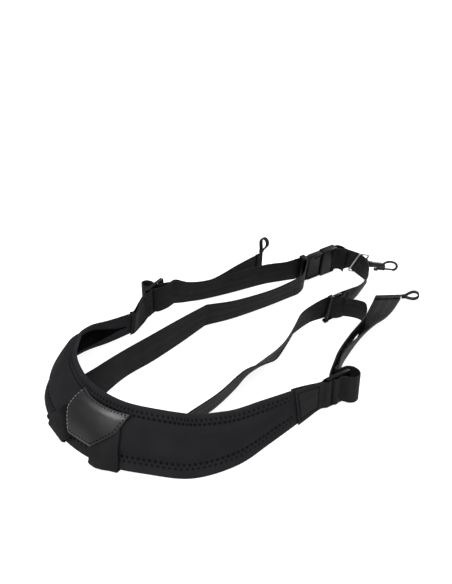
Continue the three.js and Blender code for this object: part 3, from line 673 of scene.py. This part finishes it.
def sew_hem(name, rings, faces):
    """The row of stitches across a hem, on the two faces that are named."""
    row = rings[4][-1] - hem_seam
    for face, side in zip(faces, (1, -1)):
        sew_line(name + "_" + face, rings, [(row, -hem_seam_half), (row, hem_seam_half)], side)


nylon_web = cloth_finish(
    "nylon_web", (0.0138, 0.0138, 0.0141), rough=0.55, pitch=(0.0019, 0.0016), relief=0.00028, mottle=0.3, gloss=0.03,
    lanes=0.0003, sewn=True)


# Left strap: sewn under the patch, down over the pad and under its foot, along the left side, round the buckle's bar,
# back over the shoulder, through the left ladder lock, with a free tail that ends in a folded hem.
buckle = Fitting((-65, 458.5, 0), heading=9, tilt=8)
buckle_foot = 4.3
left_lock = Fitting((-146.5, 231, 8), heading=-14, sideways=-1)
slot_foot = 2.8
patch_gap = 0.45
# inward of the pad's foot and over it, for the rows that take a strap round the foot
round_foot_rows = ((-2.9, 0.6), (-1.6, -0.9), (2, -1.25))
# t and up on the pad, slant of the strap from straight down
left_stub = [(0.4885, 37, 40), (0.4765, 29.7, 40), (0.4615, 20.7, 38), (0.4455, 11, 30), (0.4365, 4.5, 14)]


def from_patch(stub, sideways):
    """The start of a strap, down the pad's outer face and round its foot."""
    made = []
    for t, up, slant in stub:
        place, out, along, rising = pad_frame(t, up)
        reach = web_width / 2 * math.sin(math.radians(slant))
        lift = max(float(pad_face(t, up + k)) for k in (-reach, 0, reach)) + patch_gap + web_thick / 2
        across = along * sideways * math.cos(math.radians(slant)) + rising * math.sin(math.radians(slant))
        made.append((place + out * lift, across, web_width))
    foot, _, along, _ = pad_frame(stub[-1][0], 0)
    inward = np.cross(level_up, along)
    for reach, rise in round_foot_rows:
        made.append((foot + inward * reach + level_up * rise, along * sideways, web_width))
    return made


left_stations = [
    *from_patch(left_stub, -1),
    *on_edge([
        (-36, 14, 0.2, 90),
        (-39, 32, 0, 83),
        (-49, 58, 0, 42),
        (-60, 88, 0, 14),
        (-68, 125, 0, 5),
        (-69, 170, 0, 6),
        (-74, 222, 0, 1),
        (-79.6, 264, 0.1, -7),
        (-80.6, 274, 0.1, -9),
        (-78, 282.5, 0.1, -11),
        (-66, 315, 0.2, -17),
        (-54, 368, 0.2, -21),
        (-47, 410, 0.3, -18),
        (-44, 428, 0.6, -14),
        (-46.5, 442, 2, -8),
    ]),
    *buckle.threaded(buckle_foot, [(-3, 10.5), (2.2, 5), (4.7, 2.9), (5.2, 0), (4.7, -2.9), (1, -4.8), (-9, -6.5)]),
    *on_edge([
        (-85, 441.5, 0.5, 13),
        (-100, 413, 0.2, 11),
        (-116.5, 362, 0.2, 11),
        (-132.5, 319.5, 0.3, 15),
        (-142, 292, 3.5, 12),
    ]),
    *left_lock.threaded(slot_foot, [
        (42, -15.5), (25, -13.5), (12, -9.5), (7, -5), (6.2, 0), (6.4, 6), (6.2, 12), (9, 18), (14.5, 20.6),
        (19.4, 18), (21.2, 11.5), (19.6, 5.5), (19, 0), (20, -4.2), (26, -7),
    ]),
    *on_edge([
        (-145, 271, 9, -8),
        (-141, 296, 2.5, -16),
        (-136, 320, 0.5, -21),
        (-131, 345, 0.1, -17),
        (-127, 379, 0.1, -8),
        (-126, 420, 0, -5),
        (-124.5, 435, 0, -3),
    ]),
]


def left_end_shade(length, off):
    """The sewn end by the patch, which lies in the pad's shade."""
    return np.full(len(off), 0.85 * (1 - float(ease(length, 36, 52))))


left_rings = strap_rings(left_stations, hemmed=True)
left_strap = strap("left_webbing", left_rings, hemmed=True, shade_at=left_end_shade)
sew_hem("left_hem_seam", left_rings, ("outer", "inner"))
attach(left_strap, "root")
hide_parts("left_strap")


# Right strap: from the patch under the pad, along the right side with a half twist, through the slide loop,
# round and back to the right ladder lock, with a free tail that lies flat.
slide = Fitting((31.5, 410, 0.5), heading=6, tilt=10)
right_lock = Fitting((149.5, 256, 0), heading=11.7)
right_stub = [(0.569, 41, 16), (0.573, 31, 16), (0.576, 20, 14), (0.578, 9, 10), (0.579, 3, 5)]
right_stations = [
    *from_patch(right_stub, 1),
    *on_edge([
        (22, 14, 0.2, -90),
        (25, 34, 0, -83),
        (40, 66, 0, -48),
        (54, 108, 0, -27),
        (57, 152, 0, -21),
        (48, 202, 0, -22),
        (38, 232, 0, -42),
        (33, 256, 0, -53),
        (31, 280, 0, -45),
        (28, 310, 0, -30),
        (19, 346, 0.1, -17),
        (17.5, 380, 1, -15),
    ]),
    *slide.threaded(slot_foot, [(-13, -5.2), (-7, -4.2), (-2.4, -1.6), (1.6, 2), (6, 5.4), (12, 7.2)]),
    *on_edge([
        (43, 430, 1, -18),
        (62.5, 438.5, 0.3, -15),
        (79.5, 428, 0.2, -3),
        (84, 400, 0.2, 16),
        (101.5, 350, 0.6, 10),
        (119, 312, 2, 3),
    ]),
    *right_lock.threaded(slot_foot, [
        (27, -22.5), (13, -11.5), (7.6, -6), (6.3, 0), (8, 4.2), (12, 5), (16, 3.6), (19.4, 2.8), (22.6, 6),
        (26, 11), (32, 14), (39, 12), (43.4, 5), (42.6, -4), (37, -9.4), (30, -10.2), (25, -10.3), (22.4, -12.6),
        (24.6, -15), (32, -17.8),
    ]),
    *on_edge([
        (131, 302, 1.5, -2),
        (120, 318, 0.5, -8),
        (109, 340, 0, -16),
        (99, 370, 0, -25),
        (88, 398, 0, -38),
        (76, 425, 0, -54),
        (61, 457, 0.3, -70, 4),
        (48, 489, 0.8, -84, 17),
        (42, 503, 0.9, -88, 22),
    ]),
]
foot_fold = 8.5
foot_fold_at = 39.5
foot_fold_spread = 7.5
foot_fold_way = [0.7071, -0.7071, 0]


def round_the_foot(length, a):
    """The loose fold where the strap goes round the pad's foot, fullest near its left selvedge."""
    full = np.interp(a, [-1, -0.75, -0.45, 0, 0.5, 1], [0.35, 0.8, 1, 0.8, 0.3, 0])
    return np.outer(full, foot_fold_way) * foot_fold * hump(length - foot_fold_at, foot_fold_spread)


right_rings = strap_rings(right_stations, hemmed=True)
right_strap = strap("right_webbing", right_rings, hemmed=True, slack=round_the_foot)
sew_hem("right_hem_seam", right_rings, ("upper", "lower"))
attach(right_strap, "root")
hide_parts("right_strap")


# Back patch: smooth dark leather, cut in six sides, on the back of the pad over the ends of both straps.
# It is sewn down with a row of stitches along each side, and swells a little where the straps lie under it.
def leather_finish(name, colour):
    """Smooth leather: fine pores and creases, with gloss that comes and goes."""
    finish, tree, shader = new_finish(name)
    place = add_node(tree, "ShaderNodeTexCoord", {}).outputs["Object"]
    pores = add_node(tree, "ShaderNodeTexVoronoi", {"Vector": place, "Scale": 1100}).outputs["Distance"]
    creases = noise(tree, place, 160, 6)
    relief = add_node(tree, "ShaderNodeMath", {0: pores, 1: 0.35, 2: creases}, operation="MULTIPLY_ADD").outputs[0]
    bump = add_node(tree, "ShaderNodeBump", {"Strength": 0.35, "Distance": 0.0003, "Height": relief})
    gloss = add_node(tree, "ShaderNodeMapRange", {"Value": creases, "To Min": 0.28, "To Max": 0.44})
    fill_inputs(tree, shader, {
        "Base Color": tone_ramp(tree, noise(tree, place, 45, 3), colour, (0.32, 0.8), (0.72, 1.25)),
        "Roughness": gloss.outputs[0], "Normal": bump.outputs["Normal"], "Specular IOR Level": 0.44,
    })
    return finish


patch_leather = leather_finish("patch_leather", (0.003, 0.003, 0.0031))
# up, left edge t, right edge t, rise of the row's left end
patch_rows = np.array([
    [16.5, 0.487, 0.549, 0],
    [24, 0.476, 0.564, 0],
    [32, 0.4645, 0.582, 0],
    [40, 0.453, 0.599, 0],
    [46.5, 0.4552, 0.606, 1.2],
    [52, 0.4582, 0.6115, 2.6],
    [57, 0.461, 0.6165, 4],
    [61.5, 0.464, 0.6205, 5.4],
])
patch_thick = 1.7
patch_wide, patch_high = 80, 48
patch_stitch = 4.2
patch_lift, patch_strap_lift = 0.6, 1.1
# The patch swells over a strap's end within the first run across it, and settles on the pad over the second, up it.
patch_swell_run = 8, 44
patch_settle_run = 28, 66
patch_seam_low, patch_seam_top = 0.06, 0.93
# The share of the way along the pad that runs straight across each strap's end.
left_stub_across, right_stub_across = 0.87, 0.97


def patch_row(r, *columns):
    """Values of the patch's rows at r from its lower edge to its upper one."""
    row = np.clip(np.asarray(r, float), 0, 1) * (len(patch_rows) - 1)
    return [np.interp(row, np.arange(len(patch_rows)), patch_rows[:, k]) for k in columns]


def clear_of(stub, across, t, up):
    """From 0 over a strap's end to 1 where the patch lies clear of it."""
    stub_t, stub_up, _ = np.array(stub[::-1]).T
    return ease(np.abs(t - np.interp(up, stub_up, stub_t)) * pad_reach[-1] * across, *patch_swell_run)


def patch_at(r, s, depth):
    """A point of the patch: r from its lower edge to its upper one, s from left to right, depth off its rear face."""
    up, left, right, tip = patch_row(r, 0, 1, 2, 3)
    t = left + (right - left) * s
    height = up + tip * (1 - s) ** 4
    clear = clear_of(left_stub, left_stub_across, t, up) * clear_of(right_stub, right_stub_across, t, up)
    over_strap = (1 - clear) * (1 - ease(height, *patch_settle_run))
    inset = np.minimum(height, pad_width(t) - height)
    bare = pad_edge + patch_lift + (pad_panel - pad_edge) * ease(inset, 5, 22)
    lift = bare + (pad_panel + web_thick + patch_strap_lift - bare) * over_strap
    return on_pad(t, height, lift + depth), pad_frame(t, height)[1]


patch_loops, patch_girths, patch_lengths = [], [], []
patch_side = np.concatenate([[0, 0.004, 0.012], np.linspace(0.03, 0.97, 41), [0.988, 0.996, 1]])
for patch_r in np.concatenate([[0, 0.006, 0.018], np.linspace(0.04, 0.96, 40), [0.982, 0.994, 1]]):
    edge = np.minimum(np.minimum(patch_side, 1 - patch_side) / 0.008, min(patch_r, 1 - patch_r) / 0.012)
    full = np.sqrt(np.clip(edge, 0, 1))
    top = patch_at(patch_r, patch_side, patch_thick * (0.35 + 0.65 * full))[0]
    under = patch_at(patch_r, patch_side, patch_thick * 0.3 * (1 - full))[0]
    patch_loops.append(np.concatenate([top, under[::-1]]))
    patch_girths.append(np.concatenate([patch_side * patch_wide, patch_wide + patch_side * patch_wide]))
    patch_lengths.append(patch_r * patch_high)
patch = skin("back_patch_leather", patch_loops, patch_lengths, patch_girths, patch_leather)
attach(patch, "root")
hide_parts("back_patch")

# Painted highlight: the patch's left row is drawn in light grey where the one thread catches the light, and the other
# rows in black.
painted_highlight_thread = plain_finish("painted_highlight_thread", (0.22, 0.22, 0.22), rough=0.6, grain=3000, specular=0.3)


def sew_patch(name, side_r, side_s, thread, width=1.4):
    """Stitches along a line of the patch, given as matching rows of r and s."""
    way = lengths_along(patch_at(side_r, side_s, 0 * side_s)[0])
    steps = np.linspace(0, way[-1], round(way[-1] / patch_stitch) + 1)
    r, s = np.interp(steps, way, side_r), np.interp(steps, way, side_s)
    points, outs = patch_at(r, s, np.full(len(r), patch_thick + 0.05))
    sew(name, points[:-1], points[1:], outs[:-1], thread, width, height=0.9, share=0.6)


def patch_inset(r, far):
    """The share of a row's width that lies so many millimetres in from its end."""
    left, right = patch_row(r, 1, 2)
    return far / ((right - left) * pad_reach[-1])


seam_r = np.linspace(patch_seam_low, patch_seam_top, 60)
sew_patch("patch_seam_left", seam_r, patch_inset(seam_r, far=1.6), painted_highlight_thread, width=0.9)
sew_patch("patch_seam_right", seam_r, 1 - patch_inset(seam_r, far=4.2), black_thread)
for seam_name, row_r, seam_points in (("lower", patch_seam_low, 30), ("upper", patch_seam_top, 60)):
    seam_end = patch_inset(row_r, far=3)
    seam_s = np.linspace(seam_end, 1 - seam_end, seam_points)
    sew_patch("patch_seam_" + seam_name, np.full(seam_points, row_r), seam_s, black_thread)


# Pad tabs: a length of the same webbing for each end of the pad, folded round the bar of its ladder lock.
# The pad's end lies between the two plies, and a box of stitches holds all three together.
lock_height = 44
tab_steps = 8
# distance before the bar, distance off the middle, width
tab_plies = [(4, 3.4, 38), (9, 1.3, 39), (18, 1.1, 41), (30, 1.1, 44)]
# along the lock and out of its face, for the rows that take the webbing round its bar
tab_fold = ((0.4, 3.8), (2.9, 2.9), (3.8, 0), (2.9, -2.9), (0.4, -3.8))
# distance of the box's two cross rows from the tab's end, and half their widths
box_near, box_far = 4, 36
box_near_half, box_far_half = 17.5, 15.5


def pad_tab(name, node, lock, t, step):
    """One tab, folded round its lock's bar and sewn to the pad's end at t. Its plies reach one step past that end."""
    width = float(pad_width(t))
    _, seam_out, _, seam_rising = pad_frame(t, 0)
    bar = lock.at(0, 0, lock_height / 2)
    way = on_pad(t, width / 2, 0) - bar
    length = np.linalg.norm(way)

    def ply(side):
        made = []
        for back, off, wide in tab_plies:
            s = float(ease(back / length, 0.25, 1))
            across = unit(lock.rise * (1 - s) + seam_rising * s)
            out = unit(lock.out * (1 - s) + seam_out * s)
            made.append((bar + way * back / length + out * off * side, across, wide))
        for more in (0, step):
            wide = float(pad_width(t + more))
            rising = pad_frame(t + more, width / 2)[3]
            off = pad_end + 0.3 + web_thick / 2 + (0.5 if more else 0.2)
            made.append((on_pad(t + more, wide / 2, off * side), rising, wide))
        return made

    fold = [(lock.at(p, q, lock_height / 2), lock.rise, web_width) for p, q in tab_fold]
    rings = strap_rings([*ply(1)[::-1], *fold, *ply(-1)], tab_steps)
    long = rings[4][-1]

    # Painted shade along the box's stitch lines, where the thread draws the webbing in.
    def box_seam_shade(length, off):
        from_end, off = min(length, long - length), np.abs(off)
        across = max(hump(from_end - box_near, 0.8), hump(from_end - box_far, 0.8))
        edge = np.interp(from_end, [box_near, box_far], [box_near_half, box_far_half])
        along = hump(off - edge, 0.9) * float(box_near < from_end < box_far)
        return 0.9 * np.maximum(across * (off < box_near_half + 0.5), along)

    tab = strap(name, rings, shade_at=box_seam_shade)
    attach(tab, "root")
    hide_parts(node)
    for end, first in (("front", 0), ("rear", long)):
        near, far = abs(first - box_near), abs(first - box_far)
        box = [(near, -box_near_half), (near, box_near_half), (far, box_far_half), (far, -box_far_half)]
        for face, side in (("outer", 1), ("inner", -1)):
            sew_line(name + "_seam_" + end + "_" + face, rings, [*box, box[0]], side)


pad_tab("left_tab_webbing", "left_pad_tab", left_lock, 0.0, 0.013)
pad_tab("right_tab_webbing", "right_pad_tab", right_lock, 1.0, -0.013)


# Chest strap: a short length of the same webbing, folded round the bar of the buckle's female half.
# It runs through the hook's ring and is folded round the slide loop at its other end.
ring_place = np.array([-15.7, 536.1, 21.8])
ring_s = unit(np.array([0.525, 0.82, -0.225]))
ring_l = np.array([0.457, -0.086, 0.885])
ring_l = unit(ring_l - ring_s * (ring_l @ ring_s))
ring_n = np.cross(ring_s, ring_l)


def in_ring(s, l, n):
    """A point of the ring: s across its short way, l along its long way, n out of its face."""
    return placed(ring_place, (ring_s, ring_l, ring_n), (s, l, n))


chest_stations = [
    *buckle.threaded(buckle_foot, [
        (71, 17), (71.6, 12), (69.8, 7.6), (66, 5.4), (61.6, 4.9), (58, 3.9), (57.6, 0), (58, -3.9), (61, -4.7),
        (66.5, -4.2), (71.6, -2), (75, 3.6), (76, 12),
    ]),
    *((in_ring(s, 0, n), ring_l, web_width) for s, n in ((-8, -3.6), (-1, 1.6), (5.5, 7.8))),
    *on_edge([
        (5, 530, 0.3, -6),
        (10.5, 519, 0.1, 4),
        (16, 502, 0.1, 14),
        (21, 484, 0.1, 22),
        (25, 462, 0.3, 22),
        (26, 445, 1.2, 18),
    ]),
    *slide.threaded(slot_foot, [
        (20, -2.9), (13, -3.5), (9.2, -3.6), (6, -2.9), (5.3, 0), (6, 2.9), (9.2, 3.6), (12.6, 3.4), (16, 2.3),
        (20, 1.2), (25, 1.6),
    ]),
]
chest_rings = strap_rings(chest_stations)
chest_strap = strap("chest_webbing", chest_rings)
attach(chest_strap, "root")
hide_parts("chest_strap")


# Finger loops: narrow black woven tape, doubled and caught in one end of each tail's hem.
# A fingertip in the loop draws the tail back through its ladder lock.
loop_wide = 6
loop_thick = 2.0
loop_steps = 8
loop_reach = 22
# ahead of the hem's end, half spread
loop_rows = [(0.5, 0.9), (5, 1.3), (9, 3), (15, 5), (20, 3.8)]


def pull_loop(name, node, base, forward, sideways, size):
    """One doubled loop of tape that stands forward of its base and opens sideways."""
    across = np.cross(forward, sideways)
    forward, sideways = forward * size, sideways * size
    out = [(base + forward * a + sideways * s, across, loop_wide) for a, s in loop_rows]
    back = [(base + forward * a - sideways * s, across, loop_wide) for a, s in loop_rows][::-1]
    rings = strap_rings([*out, (base + forward * loop_reach, across, loop_wide), *back], loop_steps, loop_thick)
    tape = strap(name, rings)
    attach(tape, "root")
    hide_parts(node)


def hem_end(stations, inset):
    """The place on a hem's selvedge, so far in from the tail's end, where a loop is caught."""
    before, last = stations[-2:]
    along = unit(last[0] - before[0])
    return last[0] - along * inset + np.asarray(last[1]) * (web_width / 2 + 0.3)


pull_loop("left_finger_loop", "left_pull_loop", hem_end(left_stations, inset=2.5),
          np.array([0.309, 0, 0.951]), np.array([0.951, 0, -0.309]), size=1.26)
right_base_rise = 3.4
right_base = hem_end(right_stations, inset=4)
right_base[2] = right_base_rise
pull_loop("right_finger_loop", "right_pull_loop", right_base,
          np.array([0.8201, 0.51, 0.2588]), np.array([-0.2198, -0.1366, 0.9659]), size=1.15)


# Moulded fittings: ladder locks, slide loop and the two halves of the side-release buckle, all black acetal.
# Their edges are rounded as the mould leaves them, and the webbing round their bars holds them in place.
black_plastic = plain_finish(
    "black_plastic", (0.004, 0.004, 0.0042), rough=0.26, grain=1400, relief=0.00005, specular=0.1)
# corners of a lug that make each of its sides
lug_sides = ((0, 2, 3, 1), (4, 5, 7, 6), (0, 1, 5, 4), (2, 6, 7, 3), (0, 4, 6, 2), (1, 3, 7, 5))


def dressed(name, node, edge, fitting=None, lugs=()):
    """A rounded copy of a hard node, which it stands for. A lug has a low and a high corner on its fitting."""
    form = bmesh.new()
    form.from_mesh(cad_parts[node].data)
    bmesh.ops.remove_doubles(form, verts=form.verts, dist=1e-6)
    bmesh.ops.dissolve_limit(form, angle_limit=math.radians(1), verts=form.verts, edges=form.edges)
    for low, high in lugs:
        corners = [(p, q, z) for z in (low[2], high[2]) for q in (low[1], high[1]) for p in (low[0], high[0])]
        made = [form.verts.new((fitting.at(*c) - harness_middle) * millimetre) for c in corners]
        bmesh.ops.recalc_face_normals(form, faces=[form.faces.new([made[v] for v in quad]) for quad in lug_sides])
    mesh = bpy.data.meshes.new(name)
    form.to_mesh(mesh)
    form.free()
    mesh.materials.clear()
    mesh.materials.append(black_plastic)
    piece = bpy.data.objects.new(name, mesh)
    bpy.context.scene.collection.objects.link(piece)
    rounding = piece.modifiers.new("rounding", "BEVEL")
    rounding.width = edge * millimetre
    rounding.segments = 3
    rounding.limit_method = "ANGLE"
    rounding.angle_limit = math.radians(32)
    settled(piece, rounding).set_sharp_from_angle(angle=math.radians(40))
    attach(piece, "root")
    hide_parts(node)


dressed("left_lock_plastic", "left_ladder_lock", edge=0.5)
dressed("right_lock_plastic", "right_ladder_lock", edge=0.5)
dressed("slide_loop_plastic", "slide_loop", edge=0.5, fitting=slide, lugs=[
    ((-12.6, -3.2, 40.8), (-5.8, 3.2, 45.2)), ((-12.6, -3.2, -0.2), (-5.8, 3.2, 3.4)),
])
dressed("buckle_male_plastic", "buckle_male", edge=0.45, fitting=buckle, lugs=[
    ((-5.6, -4.4, 42.9), (2.4, 4.4, 47.6)), ((21, 3.4, 36.6), (30, 4.6, 40.4)),
])
dressed("buckle_female_plastic", "buckle_female", edge=0.6)


# Hook ring: bright plated steel wire, bent to a rectangle with round corners.
# The chest strap runs through it, and the hook's eye hangs on the middle of one long side.
def tube_faces(count, sides, closed):
    """Faces over a row of rings of points, which is closed on itself or has a flat face at each end."""
    faces = []
    for i in range(count if closed else count - 1):
        near, far = i * sides, (i + 1) % count * sides
        for j in range(sides):
            k = (j + 1) % sides
            faces.append((near + j, near + k, far + k, far + j))
    if not closed:
        faces += [tuple(range(sides))[::-1], tuple((count - 1) * sides + j for j in range(sides))]
    return faces


def round_wire(path, radius, closed=False, sides=20):
    """Points and faces of a round wire along points in millimetres."""
    path = np.asarray(path, float)
    ahead = np.roll(path, -1, axis=0) - np.roll(path, 1, axis=0)
    if not closed:
        ahead[0], ahead[-1] = path[1] - path[0], path[-1] - path[-2]
    ahead = unit(ahead)
    side = unit(np.cross(ahead[0], [0.3, 0.2, 0.9]))
    turn = np.linspace(0, 2 * math.pi, sides, endpoint=False)
    rings = []
    for p, a, r in zip(path, ahead, np.broadcast_to(radius, len(path))):
        side = unit(side - a * (side @ a))
        rings.append(p + r * (np.outer(np.cos(turn), side) + np.outer(np.sin(turn), np.cross(a, side))))
    return np.concatenate(rings), tube_faces(len(path), sides, closed)


ring_steel = plain_finish("ring_steel", (0.3, 0.3, 0.31), rough=0.34, metal=1.0, grain=2000, relief=0.00002)
ring_long, ring_short, ring_corner, ring_wire = 42.6, 16, 3.5, 1.4
ring_path = []
for k, (side_s, side_l) in enumerate(((1, 1), (-1, 1), (-1, -1), (1, -1))):
    for turn in np.linspace(0, math.pi / 2, 9) + k * math.pi / 2:
        ring_path.append(in_ring(side_s * (ring_short / 2 - ring_corner) + ring_corner * math.cos(turn),
                                 side_l * (ring_long / 2 - ring_corner) + ring_corner * math.sin(turn), 0))
ring = new_piece("ring_wire", *round_wire(ring_path, ring_wire, closed=True, sides=16), None, ring_steel)
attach(ring, "root")
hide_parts("hook_ring")


# Swivel snap hook: dark plated castings. The eye swings on the ring, and the barrel turns on the eye's stem.
# The barrel ends in a curved loop, and a bolt with a ridged thumb stud slides in it to close the loop's mouth.
hook_metal = plain_finish(
    "hook_metal", (0.02, 0.02, 0.0215), rough=0.4, metal=0.9, grain=1600, relief=0.00006, spread=0.1)
hook_v = unit(level_up - ring_s * (level_up @ ring_s))
hook_n = np.cross(ring_s, hook_v)
hook_at = in_ring(ring_short / 2, 0, 0)
bolt_drop = -5.6


def in_hook(s, v, n):
    """A point of the hook: s along it from the ring's bar, v up across its loop, n out of its side."""
    return placed(hook_at, (ring_s, hook_v, hook_n), (s, v, n))


def turned(rows, sides=40, hollow=False, flat=None, level=0.0):
    """Points and faces of a turned form from rows of s, radius and, where there is one, drop from its level.
    A hollow form is a ring of rows, and flat gives where a flat starts on it and how low it lies."""
    turn = np.linspace(0, 2 * math.pi, sides, endpoint=False)
    points = []
    for s, radius, *drop in rows:
        v = radius * np.cos(turn) + (level + sum(drop))
        if flat is not None and s > flat[0]:
            v = np.maximum(v, flat[1])
        points.append(in_hook(s, v, radius * np.sin(turn)))
    return np.concatenate(points), tube_faces(len(rows), sides, hollow)


def slab(outline, half):
    """Points and faces of a flat form from its outline in s and v, half its thickness each way."""
    outline = np.asarray(outline, float)
    count = len(outline)
    points = np.concatenate([in_hook(outline[:, 0], outline[:, 1], n) for n in (-half, half)])
    faces = [(i, (i + 1) % count, count + (i + 1) % count, count + i) for i in range(count)]
    faces += [tuple(range(count))[::-1], tuple(range(count, 2 * count))]
    return points, faces


def hook_piece(name, node, body, forms):
    """One piece of the hook from its forms, with faces turned outwards."""
    points, faces = [], []
    for form_points, form_faces in forms:
        start = sum(len(p) for p in points)
        points.append(form_points)
        faces += [tuple(start + v for v in f) for f in form_faces]
    piece = new_piece(name, np.concatenate(points), faces, None, hook_metal)
    form = bmesh.new()
    form.from_mesh(piece.data)
    bmesh.ops.recalc_face_normals(form, faces=form.faces)
    form.to_mesh(piece.data)
    form.free()
    piece.data.set_sharp_from_angle(angle=math.radians(35))
    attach(piece, body)
    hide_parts(node)


eye_turn = np.linspace(0, 2 * math.pi, 36, endpoint=False)
eye_radius, eye_wire = 3.5, 1.4
eye_path = hook_at + eye_radius * (np.outer(np.cos(eye_turn), ring_s) + np.outer(np.sin(eye_turn), ring_n))
hook_piece("hook_eye_metal", "hook_eye", "eye", [
    round_wire(eye_path, eye_wire, closed=True),
    turned([(4.2, 1.7), (10.6, 1.7)]),
    turned([(10.3, 2.6), (10.5, 2.8), (12.2, 2.8), (12.4, 2.6)]),
])

# s and v of the loop's middle line, from the barrel round to the mouth
loop_line = smooth_line([
    (31, 1.4, 0), (35, 4, 0), (40, 6.3, 0), (46, 6.9, 0), (52, 5.6, 0), (56.4, 1.8, 0), (56.8, -2.6, 0),
    (54, -5.3, 0), (51, -5.7, 0),
])
loop_share = np.linspace(0, 1, 64)
loop_middle = [45, -0.5, 0]
loop_thin = 1.6
loop_swell = 0.35 * ease(loop_share, 0.05, 0.3)
loop_radius = loop_thin + loop_swell * (1 - ease(loop_share, 0.92, 1))
loop_path = loop_line(loop_share)
loop_path = loop_path + unit(loop_path - loop_middle) * (loop_swell * (1 - ease(loop_share, 0.9, 1)))[:, None]
hook_piece("hook_body_metal", "hook_body", "hook", [
    turned([
        (12.8, 3.1), (10.0, 3.1), (9.9, 2.0), (7.6, 2.0), (7.6, 3.6), (7.9, 4.2), (8.6, 4.8), (10.4, 4.8),
        (10.7, 4.5), (11.2, 4.5), (11.5, 4.8), (15.8, 4.8), (16.3, 4.6), (17, 4.3), (18.2, 4.3), (18.3, 4.3),
        (29, 4.3), (34, 3.6), (35.6, 3.0), (36, 2.4),
    ], flat=(18.2, -3.75)),
    turned([
        (27.4, 1.85), (27.4, 2.9, 0.4), (27.8, 3.2, 0.4), (37.2, 3.2, 0.4), (37.6, 2.9, 0.4), (37.6, 1.85),
    ], hollow=True, level=bolt_drop),
    slab([(27.6, -3.4), (27.6, 0), (37, 0), (37, -3.4)], 2.6),
    round_wire(in_hook(loop_path[:, 0], loop_path[:, 1], 0), loop_radius),
])

stud_ridge = ((0, -9.8), (0.7, -9.8), (0.9, -9.2), (1.3, -9.2))
stud_ridges = [(start + s, v) for start in (21.3, 22.8, 24.3) for s, v in stud_ridge]
hook_piece("hook_bolt_metal", "hook_bolt", "bolt", [
    turned([(24.6, 1.3), (24.9, 1.5), (50.0, 1.5), (50.4, 1.2)], sides=24, level=bolt_drop),
    slab([(20.8, -5.9), (20.8, -9.3), *stud_ridges, (25.8, -9.7), (26.4, -9.2), (26.4, -5.9)], 1.9),
])
